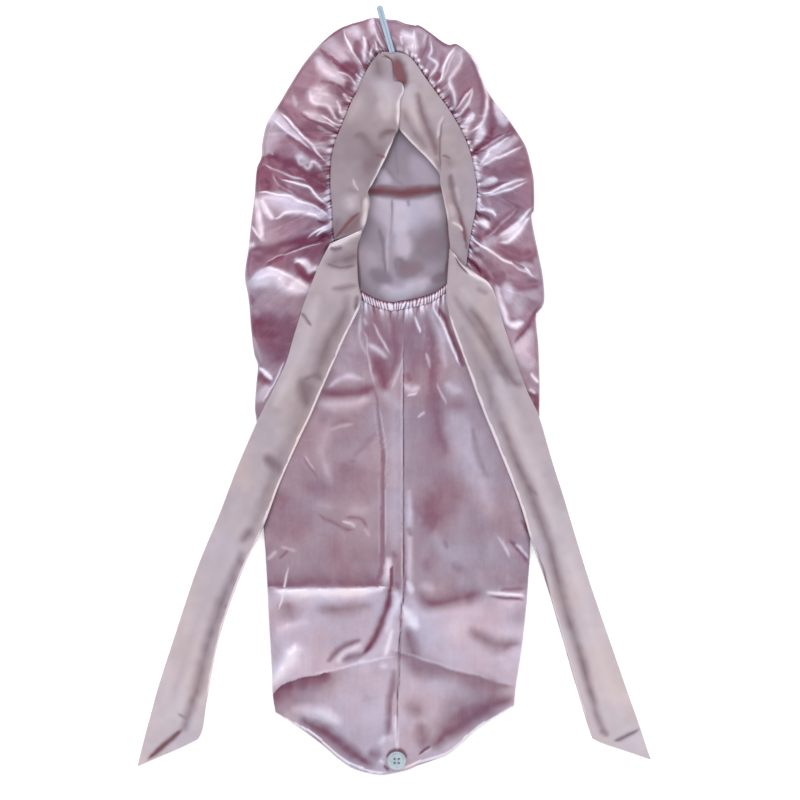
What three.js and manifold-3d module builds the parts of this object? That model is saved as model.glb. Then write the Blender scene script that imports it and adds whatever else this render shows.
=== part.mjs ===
// Extra-long satin sleep bonnet, lying on its back with the face opening up.
// Millimetres. +X is the wearer's left as drawn, +Y runs to the top of the crown, +Z is up.
// The origin is the middle of the object's box, on the surface that it lies on.

import * as THREE from 'three';
import Module from 'manifold-3d';
import { mergeVertices } from 'three/addons/utils/BufferGeometryUtils.js';

const wasm = await Module();
wasm.setup();

const { lerp, clamp, smoothstep } = THREE.MathUtils;

// Driving sizes
const WALL = 1.2;              // satin with its folds, drawn as one wall
const BAND_THICKNESS = 2.2;    // band and ties are sewn double
const GAP = 0.35;              // clearance between neighbouring pieces
const CROWN_LOFT = 24;         // height of the puffed crown round the face
const TAIL_LOFT = 11;          // height of the long tail
const TIP_LOFT = 6;            // the tail is flatter at its sewn end
const CROWN_RIM = 4.2;         // edge radius of the crown
const TAIL_RIM = 1.7;          // edge radius of the tail
const BAND_SEAM_HEIGHT = 14;   // band to crown seam above the surface
const NAPE_HEIGHT = 11;        // front layer at the nape
const GATHER_HEIGHT = 2.3;     // rise and fall of one gather at the seam
const GATHER_REACH = 34;       // how far the gathers run out from the seam
const BUTTON_DIAMETER = 17;
const BUTTON_THICKNESS = 2.6;
const BUTTON_HOLE = 1.9;
const BUTTON_HOLE_SPACING = 4;
const SHANK_RADIUS = 3;        // wound thread under the button
const LOOP_CORD = 2.6;         // elastic cord of the button loop
const LOOP_WIDTH = 3.6;        // middle of one strand to middle of the other
const CASING_WIDTH = 7.8;      // gathered channel of the nape's elastic
const CASING_HEIGHT = 5.2;
const CASING_PUCKER = 0.84;    // every second ring of the channel is this much narrower
const THREAD = 1;              // strands through the button's holes
const DISH = 0.9;              // the button's middle lies this far under its rim

// Columns of the pouch from the middle top to the middle bottom, on each side
const CROWN_COLUMNS = 34;
const SIDE_COLUMNS = 8;
const HEM_COLUMNS = 5;
const HALF = CROWN_COLUMNS + SIDE_COLUMNS + HEM_COLUMNS;
const COLUMNS = 2 * HALF;
const FRONT_ROWS = 15;
const RIM_STEPS = 2;
const BACK_STEPS = 2;
const BAND_ROWS = 44;
const BAND_STEPS = 4;
const CASING_RINGS = 28;
const CASING_SIDES = 8;

// Cloth panels of the front, as runs of columns: the crown's sides and the tail's halves
const FRONT_PANELS = [
  { name: 'crown_left', from: 0, to: CROWN_COLUMNS },
  { name: 'tail_left', from: CROWN_COLUMNS, to: HALF },
  { name: 'tail_right', from: HALF, to: COLUMNS - CROWN_COLUMNS },
  { name: 'crown_right', from: COLUMNS - CROWN_COLUMNS, to: COLUMNS },
];

// Outer edge of the pouch, from the crown's top down to the sewn tip
const TOP = { x: -20, y: 346.9 };
const TIP = { x: 2, y: -354.6 };
const OUTLINE = [
  { y: 343.6, left: -29, right: 3 },
  { y: 337.2, left: -49, right: 26.5 },
  { y: 324.2, left: -66.5, right: 45.4 },
  { y: 304.8, left: -83, right: 76.5 },
  { y: 283.5, left: -97, right: 85 },
  { y: 265, left: -107.7, right: 96.4 },
  { y: 242.8, left: -120, right: 112.3 },
  { y: 217, left: -123.3, right: 124.6 },
  { y: 190, left: -129, right: 129.5 },
  { y: 155, left: -132.8, right: 128.3 },
  { y: 132, left: -135, right: 132.7 },
  { y: 104, left: -138.2, right: 137.8 },
  { y: 85.6, left: -135, right: 139 },
  { y: 69.8, left: -133.7, right: 131.3 },
  { y: 43, left: -130.8, right: 133.5 },
  { y: 8, left: -128, right: 134.8 },
];
const SIDE_EDGE = [
  { y: -26.4, left: -128, right: 134.5 },
  { y: -82, left: -125, right: 131 },
  { y: -137, left: -120.5, right: 126.4 },
  { y: -179, left: -118, right: 124 },
  { y: -211, left: -116.4, right: 121 },
  { y: -256, left: -113.8, right: 115.5 },
];
const HEM_EDGE = [
  { y: -294, left: -110.8, right: 111 },
  { y: -314, left: -85.3, right: 76.6 },
  { y: -327, left: -68, right: 61.8 },
  { y: -338, left: -55, right: 47 },
  { y: -345.5, left: -44, right: 25.3 },
  { y: -351.5, left: -33, right: 12 },
];

// Seam round the face, then the gathered nape edge
const APEX = { x: -4, y: 313.5 };
const FACE_SEAM = [
  { y: 311, left: -16, right: 8 },
  { y: 296, left: -26, right: 25 },
  { y: 282, left: -32.3, right: 34.6 },
  { y: 265, left: -41, right: 47.4 },
  { y: 249.3, left: -47.2, right: 57.5 },
  { y: 230, left: -54.5, right: 67 },
  { y: 208, left: -58.8, right: 73.2 },
  { y: 186.4, left: -59.2, right: 76.5 },
  { y: 165, left: -57.6, right: 75.4 },
  { y: 142, left: -55.8, right: 70.2 },
  { y: 119, left: -48.5, right: 67.6 },
  { y: 103, left: -41, right: 59 },
];
const NAPE_EDGE = [
  { y: 86, left: -34, right: 48.5 },
  { y: 79.3, left: -21.6, right: 33 },
  { y: 75.6, left: -10, right: 20 },
];
const NAPE_MIDDLE = { x: 6, y: 74.2 };

// Folds of the front layer: from and to are its two ends, negative height is a valley
const FOLDS = [
  { fromX: -75, fromY: 308, toX: -36, toY: 281, width: 8, height: 2.6 },
  { fromX: -107, fromY: 259, toX: -59, toY: 211, width: 9, height: 3.2 },
  { fromX: -121, fromY: 216, toX: -60, toY: 191, width: 8, height: -3 },
  { fromX: -129, fromY: 182, toX: -58, toY: 161, width: 9, height: 3 },
  { fromX: -135, fromY: 105, toX: -93, toY: 129, width: 9, height: -3.2 },
  { fromX: -93, fromY: 129, toX: -58, toY: 139, width: 9, height: -2.6 },
  { fromX: -132, fromY: 85, toX: -79, toY: 95, width: 10, height: 2.4 },
  { fromX: -107, fromY: 26, toX: -97, toY: 61, width: 10, height: -2.4 },
  { fromX: -30, fromY: 343, toX: -26, toY: 301, width: 7, height: 2.4 },
  { fromX: 15, fromY: 338, toX: 12, toY: 316, width: 7, height: 2.2 },
  { fromX: 63, fromY: 318, toX: 43, toY: 291, width: 8, height: 2.8 },
  { fromX: 87, fromY: 270, toX: 65, toY: 235, width: 8, height: 2.8 },
  { fromX: 110, fromY: 249, toX: 76, toY: 223, width: 8, height: -3 },
  { fromX: 125, fromY: 197, toX: 78, toY: 182, width: 8, height: 3 },
  { fromX: 128, fromY: 169, toX: 90, toY: 134, width: 10, height: 2.6 },
  { fromX: 72, fromY: 143, toX: 132, toY: 104, width: 9, height: 2.6 },
  { fromX: 135, fromY: 79, toX: 113, toY: 49, width: 9, height: -2.6 },
  { fromX: 32, fromY: 77, toX: 61, toY: 23, width: 10, height: 2 },
  { fromX: -29, fromY: 68, toX: -9, toY: -48, width: 10, height: -1.6 },
  { fromX: -9, fromY: -48, toX: -10, toY: -155, width: 10, height: -1.4 },
  { fromX: -10, fromY: -155, toX: -33, toY: -245, width: 11, height: -1.2 },
  { fromX: 8.5, fromY: 60, toX: 8.5, toY: -183, width: 9, height: 1.2 },
  { fromX: 8.5, fromY: -183, toX: 2.5, toY: -320, width: 9, height: 1.2 },
  { fromX: -117, fromY: -181, toX: -13, toY: -182, width: 13, height: -1.4 },
  { fromX: 77, fromY: -185, toX: 123, toY: -192, width: 12, height: -1.2 },
  { fromX: -111, fromY: -276, toX: 2, toY: -246, width: 14, height: 1.3 },
  { fromX: 5, fromY: -243, toX: 110, toY: -271, width: 14, height: 1.3 },
];

// Inner edge of the band: down the left side from the top of the slit, and the same on the right
const BAND_INNER_LEFT = [
  { x: 3.6, y: 304 },
  { x: 4.4, y: 282 },
  { x: 4.8, y: 262 },
  { x: 4.6, y: 243 },
  { x: -6.4, y: 219 },
  { x: -15.3, y: 202 },
  { x: -23.4, y: 186.4 },
  { x: -25.6, y: 176 },
  { x: -30.5, y: 166.5 },
];
const BAND_INNER_RIGHT = [
  { x: 5.2, y: 304 },
  { x: 6, y: 282 },
  { x: 6.4, y: 262 },
  { x: 7, y: 243 },
  { x: 18.2, y: 229 },
  { x: 30.2, y: 214 },
  { x: 41, y: 200 },
  { x: 43.2, y: 186.4 },
  { x: 47.6, y: 164.7 },
  { x: 50.5, y: 140.5 },
];
const BAND_END_LEFT = { x: -55.4, y: 143.5 };
const BAND_END_RIGHT = { x: 68.2, y: 124.5 };
const BAND_INNER_DROP = 3.2;   // the inner edge hangs a little below the seam

// The ties, from the end of the band to the slanted end, edge against edge
const TIE_LEFT = [
  { innerX: -31.4, innerY: 165.4, outerX: -56.3, outerY: 142.3 },
  { innerX: -32.9, innerY: 140, outerX: -66.2, outerY: 122 },
  { innerX: -33.4, innerY: 103, outerX: -77.6, outerY: 95 },
  { innerX: -33.6, innerY: 78, outerX: -87, outerY: 68 },
  { innerX: -43.8, innerY: 49.8, outerX: -97, outerY: 37 },
  { innerX: -69, innerY: -2.7, outerX: -116, outerY: -6 },
  { innerX: -87.4, innerY: -43.7, outerX: -133, outerY: -41 },
  { innerX: -107.6, innerY: -88.3, outerX: -152, outerY: -86 },
  { innerX: -138, innerY: -161.4, outerX: -183, outerY: -164 },
  { innerX: -154.8, innerY: -201.7, outerX: -197, outerY: -206 },
  { innerX: -166.4, innerY: -244, outerX: -211, outerY: -249 },
  { innerX: -179.4, innerY: -317.4, outerX: -230, outerY: -314 },
];
const TIE_LEFT_END = { innerX: -183, innerY: -322, outerX: -238.4, outerY: -347.6 };
const TIE_RIGHT = [
  { innerX: 50.4, innerY: 139.4, outerX: 68.4, outerY: 123.3 },
  { innerX: 50, innerY: 116, outerX: 79, outerY: 107 },
  { innerX: 48.8, innerY: 98.5, outerX: 92.2, outerY: 92 },
  { innerX: 50, innerY: 72, outerX: 98.7, outerY: 68 },
  { innerX: 66.2, innerY: 25.6, outerX: 115.7, outerY: 17 },
  { innerX: 85.3, innerY: -26.4, outerX: 134.5, outerY: -25 },
  { innerX: 100.5, innerY: -64, outerX: 147, outerY: -64 },
  { innerX: 116.3, innerY: -104, outerX: 159.5, outerY: -104 },
  { innerX: 141, innerY: -178, outerX: 182, outerY: -178 },
  { innerX: 154.2, innerY: -223, outerX: 196.5, outerY: -223 },
  { innerX: 167.8, innerY: -270, outerX: 213, outerY: -270 },
  { innerX: 181.3, innerY: -315, outerX: 229, outerY: -315 },
];
const TIE_RIGHT_END = { innerX: 188, innerY: -324, outerX: 238.4, outerY: -341.5 };
const TIE_ROWS = 34;
const TIE_STEPS = 4;

const BUTTON_PLACE = { x: 2.2, y: -342 };
const LOOP_BASE = { x: -2.4, y: 310.5 };
const LOOP_TIP = { x: -13.6, y: 354.2 };

const flat = (p) => new THREE.Vector3(p.x, p.y, 0);
const side = (rows, name) => rows.map((row) => new THREE.Vector3(row[name], row.y, 0));
const spline = (points) => new THREE.CatmullRomCurve3(points, false, 'centripetal');
const rise = (u) => 1 - (1 - clamp(u, 0, 1)) ** 2;

// Points along one smooth curve through joined runs, spaced evenly within each run
function evenPoints(runs, counts) {
  const joined = spline(runs.flat());
  const total = runs.flat().length - 1;
  const points = [joined.getPoint(0)];
  let start = 0;
  runs.forEach((run, index) => {
    const end = index === runs.length - 1 ? total : start + run.length - (index === 0 ? 1 : 0);
    const fine = [];
    for (let i = 0; i <= 200; i += 1) fine.push(joined.getPoint(lerp(start, end, i / 200) / total));
    const lengths = [0];
    for (let i = 1; i < fine.length; i += 1) lengths.push(lengths[i - 1] + fine[i].distanceTo(fine[i - 1]));
    for (let step = 1; step <= counts[index]; step += 1) {
      const target = (lengths[200] * step) / counts[index];
      let i = lengths.findIndex((length) => length >= target - 1e-9);
      i = Math.max(i, 1);
      const share = (target - lengths[i - 1]) / (lengths[i] - lengths[i - 1]);
      points.push(fine[i - 1].clone().lerp(fine[i], share));
    }
    start = end;
  });
  return points;
}

// One closed ring of columns: down the left side, then up the right
function ring(name) {
  const counts = [CROWN_COLUMNS, SIDE_COLUMNS, HEM_COLUMNS];
  const halves = ['left', 'right'].map((hand) => {
    const runs = name === 'outline'
      ? [[flat(TOP), ...side(OUTLINE, hand)], side(SIDE_EDGE, hand), [...side(HEM_EDGE, hand), flat(TIP)]]
      : [[flat(APEX), ...side(FACE_SEAM, hand)], [...side(NAPE_EDGE, hand), flat(NAPE_MIDDLE)]];
    return evenPoints(runs, name === 'outline' ? counts : [CROWN_COLUMNS, SIDE_COLUMNS + HEM_COLUMNS]);
  });
  return [...halves[0], ...halves[1].slice(1, -1).reverse()];
}

const outlineRing = ring('outline');
const seamRing = ring('seam');

// Shortest way in plan from a point to a closed ring of points
function distanceTo(points, x, y) {
  let best = Infinity;
  for (let i = 0; i < points.length; i += 1) {
    const a = points[i];
    const b = points[(i + 1) % points.length];
    best = Math.min(best, distanceToSegment(x, y, a.x, a.y, b.x, b.y));
  }
  return best;
}

function distanceToSegment(x, y, ax, ay, bx, by) {
  const dx = bx - ax;
  const dy = by - ay;
  const share = clamp(((x - ax) * dx + (y - ay) * dy) / (dx * dx + dy * dy), 0, 1);
  return Math.hypot(x - ax - dx * share, y - ay - dy * share);
}

// 1 over the puffed crown, 0 over the flat tail, which starts right below the nape
function crownShare(x, y) {
  const above = smoothstep(y, -40, 60);
  const belowNape = 1 - smoothstep(y, 60, 105);
  const middle = 1 - smoothstep(Math.abs(x - 7), 34, 82);
  return above * (1 - belowNape * middle);
}

const rimRadius = (x, y) => lerp(TAIL_RIM, CROWN_RIM, crownShare(x, y));

function foldHeight(x, y) {
  let height = 0;
  for (const fold of FOLDS) {
    const away = distanceToSegment(x, y, fold.fromX, fold.fromY, fold.toX, fold.toY);
    height += fold.height * Math.exp(-((away / fold.width) ** 2));
  }
  return height;
}

// Top of the front layer without its gathers
function frontHeight(x, y) {
  const share = crownShare(x, y);
  const tail = lerp(TIP_LOFT, TAIL_LOFT, smoothstep(y, -335, -285));
  const loft = lerp(tail, CROWN_LOFT, share);
  const seam = Math.min(lerp(NAPE_HEIGHT, BAND_SEAM_HEIGHT, smoothstep(y, 80, 165)), loft);
  const fromEdge = distanceTo(outlineRing, x, y);
  const fromSeam = distanceTo(seamRing, x, y);
  const edge = rise(fromEdge / lerp(32, 62, share));
  const body = lerp(seam, loft, rise(fromSeam / 26));
  const folds = foldHeight(x, y) * rise(fromEdge / 14) * rise(fromSeam / 12);
  return lerp(2 * rimRadius(x, y), body, edge) + folds;
}

// Every second column of the crown stands proud, which makes the gathers
function gather(column, fromSeam) {
  const along = Math.min(column, COLUMNS - column);
  if (along > CROWN_COLUMNS - 5) return 0;
  const sign = along % 2 === 0 ? 1 : -1;
  return sign * GATHER_HEIGHT * (1 - smoothstep(fromSeam, 6, GATHER_REACH));
}

// A mesh under construction: a list of corners and triangles
class Skin {
  constructor() {
    this.corners = [];
    this.faces = [];
  }

  add(point) {
    this.corners.push(point.x, point.y, point.z);
    return this.corners.length / 3 - 1;
  }

  quad(a, b, c, d) {
    if (a !== b && b !== c) this.faces.push(a, b, c);
    if (a !== d && c !== d) this.faces.push(a, c, d);
  }

  geometry() {
    const geometry = new THREE.BufferGeometry();
    geometry.setAttribute('position', new THREE.Float32BufferAttribute(this.corners, 3));
    geometry.setIndex(this.faces);
    geometry.computeVertexNormals();
    return geometry;
  }
}

function inwardNormal(column) {
  const before = outlineRing[(column + COLUMNS - 1) % COLUMNS];
  const after = outlineRing[(column + 1) % COLUMNS];
  return new THREE.Vector3(before.y - after.y, after.x - before.x, 0).normalize();
}

// Rings of points of one skin of the front: over the top, round the rim and down to the surface
function frontRings(inset) {
  const rings = [];
  for (let row = 0; row <= FRONT_ROWS + RIM_STEPS; row += 1) {
    rings.push(outlineRing.map((edge, column) => {
      const radius = rimRadius(edge.x, edge.y);
      const centre = edge.clone().addScaledVector(inwardNormal(column), radius);
      if (row <= FRONT_ROWS) {
        const point = seamRing[column].clone().lerp(centre, row / FRONT_ROWS);
        const fromSeam = point.distanceTo(seamRing[column]);
        const top = row === FRONT_ROWS ? 2 * radius : frontHeight(point.x, point.y);
        point.z = top + gather(column, fromSeam) - inset;
        return point;
      }
      const angle = Math.PI * (0.5 - (row - FRONT_ROWS) / RIM_STEPS);
      centre.addScaledVector(inwardNormal(column), -(radius - inset) * Math.cos(angle));
      centre.z = radius + (radius - inset) * Math.sin(angle);
      return centre;
    }));
  }
  return rings;
}

const outerRings = frontRings(0);
const innerRings = frontRings(WALL);

// One cloth panel of the front: a run of columns, its ends half a gap short of the next panel
function frontPanel(from, to) {
  const skin = new Skin();
  const grid = (rings) => rings.map((points) => {
    const run = [];
    for (let column = from; column <= to; column += 1) run.push(points[column % COLUMNS].clone());
    const last = run.length - 1;
    const shorten = (end, next) => end.lerp(next, GAP / 2 / end.distanceTo(next));
    shorten(run[0], run[1]);
    shorten(run[last], run[last - 1]);
    return run.map((point) => skin.add(point));
  });
  const outer = grid(outerRings);
  const inner = grid(innerRings);
  const last = to - from;
  const end = FRONT_ROWS + RIM_STEPS;
  for (let c = 0; c < last; c += 1) {
    for (let row = 0; row < end; row += 1) {
      skin.quad(outer[row][c], outer[row + 1][c], outer[row + 1][c + 1], outer[row][c + 1]);
      skin.quad(inner[row][c], inner[row][c + 1], inner[row + 1][c + 1], inner[row + 1][c]);
    }
    skin.quad(inner[0][c], outer[0][c], outer[0][c + 1], inner[0][c + 1]);
    skin.quad(outer[end][c], inner[end][c], inner[end][c + 1], outer[end][c + 1]);
  }
  for (let row = 0; row < end; row += 1) {
    skin.quad(outer[row + 1][0], outer[row][0], inner[row][0], inner[row + 1][0]);
    skin.quad(outer[row][last], outer[row + 1][last], inner[row + 1][last], inner[row][last]);
  }
  return skin.geometry();
}

// One flat face of the back panel: rows of points from its left edge to its right edge
function backFace(skin, edge, outward) {
  const point = (index) => new THREE.Vector3().fromArray(skin.corners, index * 3);
  let previous = new Array(BACK_STEPS + 1).fill(edge[0]);
  for (let k = 1; k <= HALF; k += 1) {
    const left = edge[k];
    const right = edge[(COLUMNS - k) % COLUMNS];
    const row = [left];
    for (let m = 1; m < BACK_STEPS; m += 1) {
      const across = point(left).lerp(point(right), m / BACK_STEPS);
      row.push(k === HALF ? left : skin.add(across));
    }
    row.push(right);
    for (let m = 0; m < BACK_STEPS; m += 1) {
      if (outward) skin.quad(previous[m], previous[m + 1], row[m + 1], row[m]);
      else skin.quad(previous[m], row[m], row[m + 1], previous[m + 1]);
    }
    previous = row;
  }
}

// The back panel lies flat on the surface, inside the turned edge of the front
function backPanel() {
  const skin = new Skin();
  const edgeAt = (height) => outlineRing.map((edge, column) => {
    const inset = rimRadius(edge.x, edge.y) + GAP;
    return skin.add(edge.clone().addScaledVector(inwardNormal(column), inset).setZ(height));
  });
  const low = edgeAt(0);
  const high = edgeAt(WALL);
  for (let column = 0; column < COLUMNS; column += 1) {
    const next = (column + 1) % COLUMNS;
    skin.quad(high[column], low[column], low[next], high[next]);
  }
  backFace(skin, low, true);
  backFace(skin, high, false);
  return skin.geometry();
}

// Highest point of a mesh above a place, or the floor
function heightOver(geometry, x, y) {
  const corner = geometry.attributes.position;
  const index = geometry.index;
  let best = 0;
  for (let i = 0; i < index.count; i += 3) {
    const [a, b, c] = [index.getX(i), index.getX(i + 1), index.getX(i + 2)];
    const ax = corner.getX(a) - x;
    const ay = corner.getY(a) - y;
    const bx = corner.getX(b) - x;
    const by = corner.getY(b) - y;
    const cx = corner.getX(c) - x;
    const cy = corner.getY(c) - y;
    const u = bx * cy - by * cx;
    const v = cx * ay - cy * ax;
    const w = ax * by - ay * bx;
    if ((u >= 0 && v >= 0 && w >= 0) && u + v + w > 1e-9) {
      const height = (u * corner.getZ(a) + v * corner.getZ(b) + w * corner.getZ(c)) / (u + v + w);
      best = Math.max(best, height);
    }
  }
  return best;
}

function clearHeight(geometries, x, y, reach) {
  let best = 0;
  for (const geometry of geometries) {
    best = Math.max(best, heightOver(geometry, x, y));
    for (let i = 0; i < 8; i += 1) {
      const angle = (i * Math.PI) / 4;
      const height = heightOver(geometry, x + reach * Math.cos(angle), y + reach * Math.sin(angle));
      best = Math.max(best, height);
    }
  }
  return best;
}

// Whether a place lies inside a closed ring of points, seen from above
function insideRing(points, x, y) {
  let inside = false;
  points.forEach((a, i) => {
    const b = points[(i + 1) % points.length];
    if ((a.y > y) !== (b.y > y) && x < a.x + ((b.x - a.x) * (y - a.y)) / (b.y - a.y)) inside = !inside;
  });
  return inside;
}

// A double-sewn strip: rows of points on its underside, and its thickness
function stripSolid(rows, thickness) {
  const skin = new Skin();
  const under = rows.map((row) => row.map((p) => skin.add(p)));
  const over = rows.map((row) => row.map((p) => skin.add(p.clone().setZ(p.z + thickness))));
  const last = rows[0].length - 1;
  const end = rows.length - 1;
  for (let r = 0; r < end; r += 1) {
    for (let c = 0; c < last; c += 1) {
      skin.quad(over[r][c], over[r + 1][c], over[r + 1][c + 1], over[r][c + 1]);
      skin.quad(under[r][c], under[r][c + 1], under[r + 1][c + 1], under[r + 1][c]);
    }
    skin.quad(under[r][0], under[r + 1][0], over[r + 1][0], over[r][0]);
    skin.quad(over[r][last], over[r + 1][last], under[r + 1][last], under[r][last]);
  }
  for (let c = 0; c < last; c += 1) {
    skin.quad(over[0][c], over[0][c + 1], under[0][c + 1], under[0][c]);
    skin.quad(under[end][c], under[end][c + 1], over[end][c + 1], over[end][c]);
  }
  return skin.geometry();
}

// Left end of the band, over the top and down to its right end
function bandRows() {
  const seat = GAP + 0.15;
  const outerLine = spline([
    flat(BAND_END_LEFT),
    ...side(FACE_SEAM.slice(0, -3), 'left').reverse(),
    flat(APEX),
    ...side(FACE_SEAM.slice(0, -2), 'right'),
    flat(BAND_END_RIGHT),
  ]);
  const leftInner = spline(BAND_INNER_LEFT.map(flat).reverse());
  const rightInner = spline(BAND_INNER_RIGHT.map(flat));
  const centre = new THREE.Vector3(6, 190, 0);
  const rows = [];
  for (let i = 0; i <= BAND_ROWS; i += 1) {
    const share = i / BAND_ROWS;
    const outer = outerLine.getPointAt(share);
    const inward = centre.clone().sub(outer).setZ(0).normalize();
    outer.addScaledVector(inward, seat);
    const inner = share < 0.5 ? leftInner.getPointAt(share * 2) : rightInner.getPointAt(share * 2 - 1);
    if (i === BAND_ROWS / 2) inner.x = (BAND_INNER_LEFT[0].x + BAND_INNER_RIGHT[0].x) / 2;
    const row = [];
    for (let c = 0; c <= BAND_STEPS; c += 1) {
      const point = outer.clone().lerp(inner, c / BAND_STEPS);
      point.z = BAND_SEAM_HEIGHT - BAND_THICKNESS + GAP - (BAND_INNER_DROP * c) / BAND_STEPS;
      row.push(point);
    }
    rows.push(row.reverse());
  }
  return rows;
}

function tieRows(stations, end, below, hand) {
  const inner = spline(stations.map((s) => new THREE.Vector3(s.innerX, s.innerY, 0)));
  const outer = spline(stations.map((s) => new THREE.Vector3(s.outerX, s.outerY, 0)));
  const rows = [];
  for (let i = 0; i <= TIE_ROWS; i += 1) {
    const share = (i / (TIE_ROWS - 1)) ** 1.3;
    const from = i < TIE_ROWS ? inner.getPoint(share) : new THREE.Vector3(end.innerX, end.innerY, 0);
    const to = i < TIE_ROWS ? outer.getPoint(share) : new THREE.Vector3(end.outerX, end.outerY, 0);
    const row = [];
    for (let c = 0; c <= TIE_STEPS; c += 1) {
      const point = from.clone().lerp(to, c / TIE_STEPS);
      const bridge = insideRing(seamRing, point.x, point.y) ? BAND_SEAM_HEIGHT - BAND_THICKNESS : 0;
      const rest = Math.max(clearHeight(below, point.x, point.y, 7), bridge);
      point.z = rest > 0 ? rest + GAP + 0.2 : 0;
      row.push(point);
    }
    rows.push(hand === 'left' ? row.reverse() : row);
  }
  return rows;
}

// The nape's elastic runs in a gathered channel
function napeCasing() {
  const line = spline([
    new THREE.Vector3(-32, 90.2, NAPE_HEIGHT),
    new THREE.Vector3(-21.6, 84.2, NAPE_HEIGHT),
    new THREE.Vector3(-10, 80.4, NAPE_HEIGHT),
    new THREE.Vector3(6, 79, NAPE_HEIGHT),
    new THREE.Vector3(20, 80.4, NAPE_HEIGHT),
    new THREE.Vector3(33, 84.2, NAPE_HEIGHT),
    new THREE.Vector3(46.6, 94.5, NAPE_HEIGHT),
  ]);
  const skin = new Skin();
  const rings = [];
  for (let i = 0; i <= CASING_RINGS; i += 1) {
    const share = i / CASING_RINGS;
    const centre = line.getPointAt(share);
    const along = line.getTangentAt(share);
    const across = new THREE.Vector3(-along.y, along.x, 0).normalize();
    const swell = i % 2 === 0 ? 1 : CASING_PUCKER;
    const ringPoints = [];
    for (let k = 0; k < CASING_SIDES; k += 1) {
      const angle = (2 * Math.PI * k) / CASING_SIDES;
      const point = centre.clone().addScaledVector(across, (CASING_WIDTH / 2) * swell * Math.cos(angle));
      point.z += (CASING_HEIGHT / 2) * swell * Math.sin(angle);
      ringPoints.push(skin.add(point));
    }
    rings.push(ringPoints);
  }
  for (let i = 0; i < CASING_RINGS; i += 1) {
    for (let k = 0; k < CASING_SIDES; k += 1) {
      const next = (k + 1) % CASING_SIDES;
      skin.quad(rings[i][k], rings[i][next], rings[i + 1][next], rings[i + 1][k]);
    }
  }
  const last = rings[CASING_RINGS];
  for (let k = 1; k < CASING_SIDES - 1; k += 1) {
    skin.faces.push(rings[0][0], rings[0][k + 1], rings[0][k]);
    skin.faces.push(last[0], last[k], last[k + 1]);
  }
  return skin.geometry();
}

function toSolid(geometry) {
  const bare = geometry.clone();
  bare.deleteAttribute('normal');
  bare.deleteAttribute('uv');
  const merged = mergeVertices(bare, 1e-4);
  return new wasm.Manifold(new wasm.Mesh({
    numProp: 3,
    vertProperties: new Float32Array(merged.attributes.position.array),
    triVerts: new Uint32Array(merged.index.array),
  }));
}

function fromSolid(solid) {
  const mesh = solid.getMesh();
  const geometry = new THREE.BufferGeometry();
  geometry.setAttribute('position', new THREE.BufferAttribute(new Float32Array(mesh.vertProperties), 3));
  geometry.setIndex(new THREE.BufferAttribute(new Uint32Array(mesh.triVerts), 1));
  geometry.computeVertexNormals();
  return geometry;
}

// A round post standing on z, its axis along Z
function post(x, y, z, radius, height, sides) {
  const geometry = new THREE.CylinderGeometry(radius, radius, height, sides);
  geometry.rotateX(Math.PI / 2);
  geometry.translate(x, y, z + height / 2);
  return geometry;
}

const holePlaces = [[-1, -1], [1, -1], [1, 1], [-1, 1]].map(([i, j]) => ({
  x: BUTTON_PLACE.x + (i * BUTTON_HOLE_SPACING) / 2,
  y: BUTTON_PLACE.y + (j * BUTTON_HOLE_SPACING) / 2,
}));

// Moulded button with a raised rim and a dished middle
function button(seat) {
  const radius = BUTTON_DIAMETER / 2;
  const profile = [
    [0, 0],
    [radius - 1.4, 0],
    [radius - 0.3, 0.7],
    [radius, 1.5],
    [radius - 0.4, BUTTON_THICKNESS - 0.2],
    [radius - 1.1, BUTTON_THICKNESS],
    [radius - 2, BUTTON_THICKNESS - 0.3],
    [radius - 2.8, BUTTON_THICKNESS - DISH],
    [0, BUTTON_THICKNESS - DISH],
  ].map(([r, z]) => new THREE.Vector2(r, z));
  const disc = new THREE.LatheGeometry(profile, 24);
  disc.rotateX(Math.PI / 2);
  disc.translate(BUTTON_PLACE.x, BUTTON_PLACE.y, seat);
  let solid = toSolid(disc);
  for (const place of holePlaces) {
    const hole = post(place.x, place.y, seat - 1, BUTTON_HOLE / 2, BUTTON_THICKNESS + 2, 10);
    solid = solid.subtract(toSolid(hole));
  }
  return fromSolid(solid);
}

// Thread: a short shank under the button, a strand up each hole and two bars across
function buttonThread(seat, clothTop) {
  const top = seat + BUTTON_THICKNESS - DISH + GAP;
  const barHeight = 0.7;
  const shankTop = seat - GAP;
  const foot = clothTop + GAP;
  let solid = toSolid(post(BUTTON_PLACE.x, BUTTON_PLACE.y, foot, SHANK_RADIUS, shankTop - foot, 10));
  for (const place of holePlaces) {
    const from = shankTop - barHeight / 2;
    const strand = post(place.x, place.y, from, THREAD / 2, top + barHeight / 2 - from, 8);
    solid = solid.add(toSolid(strand));
  }
  for (const hand of [-1, 1]) {
    const bar = new THREE.BoxGeometry(0.8 * THREAD, BUTTON_HOLE_SPACING, barHeight);
    bar.translate(BUTTON_PLACE.x + (hand * BUTTON_HOLE_SPACING) / 2, BUTTON_PLACE.y, top + barHeight / 2);
    solid = solid.add(toSolid(bar));
  }
  return fromSolid(solid);
}

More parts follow.
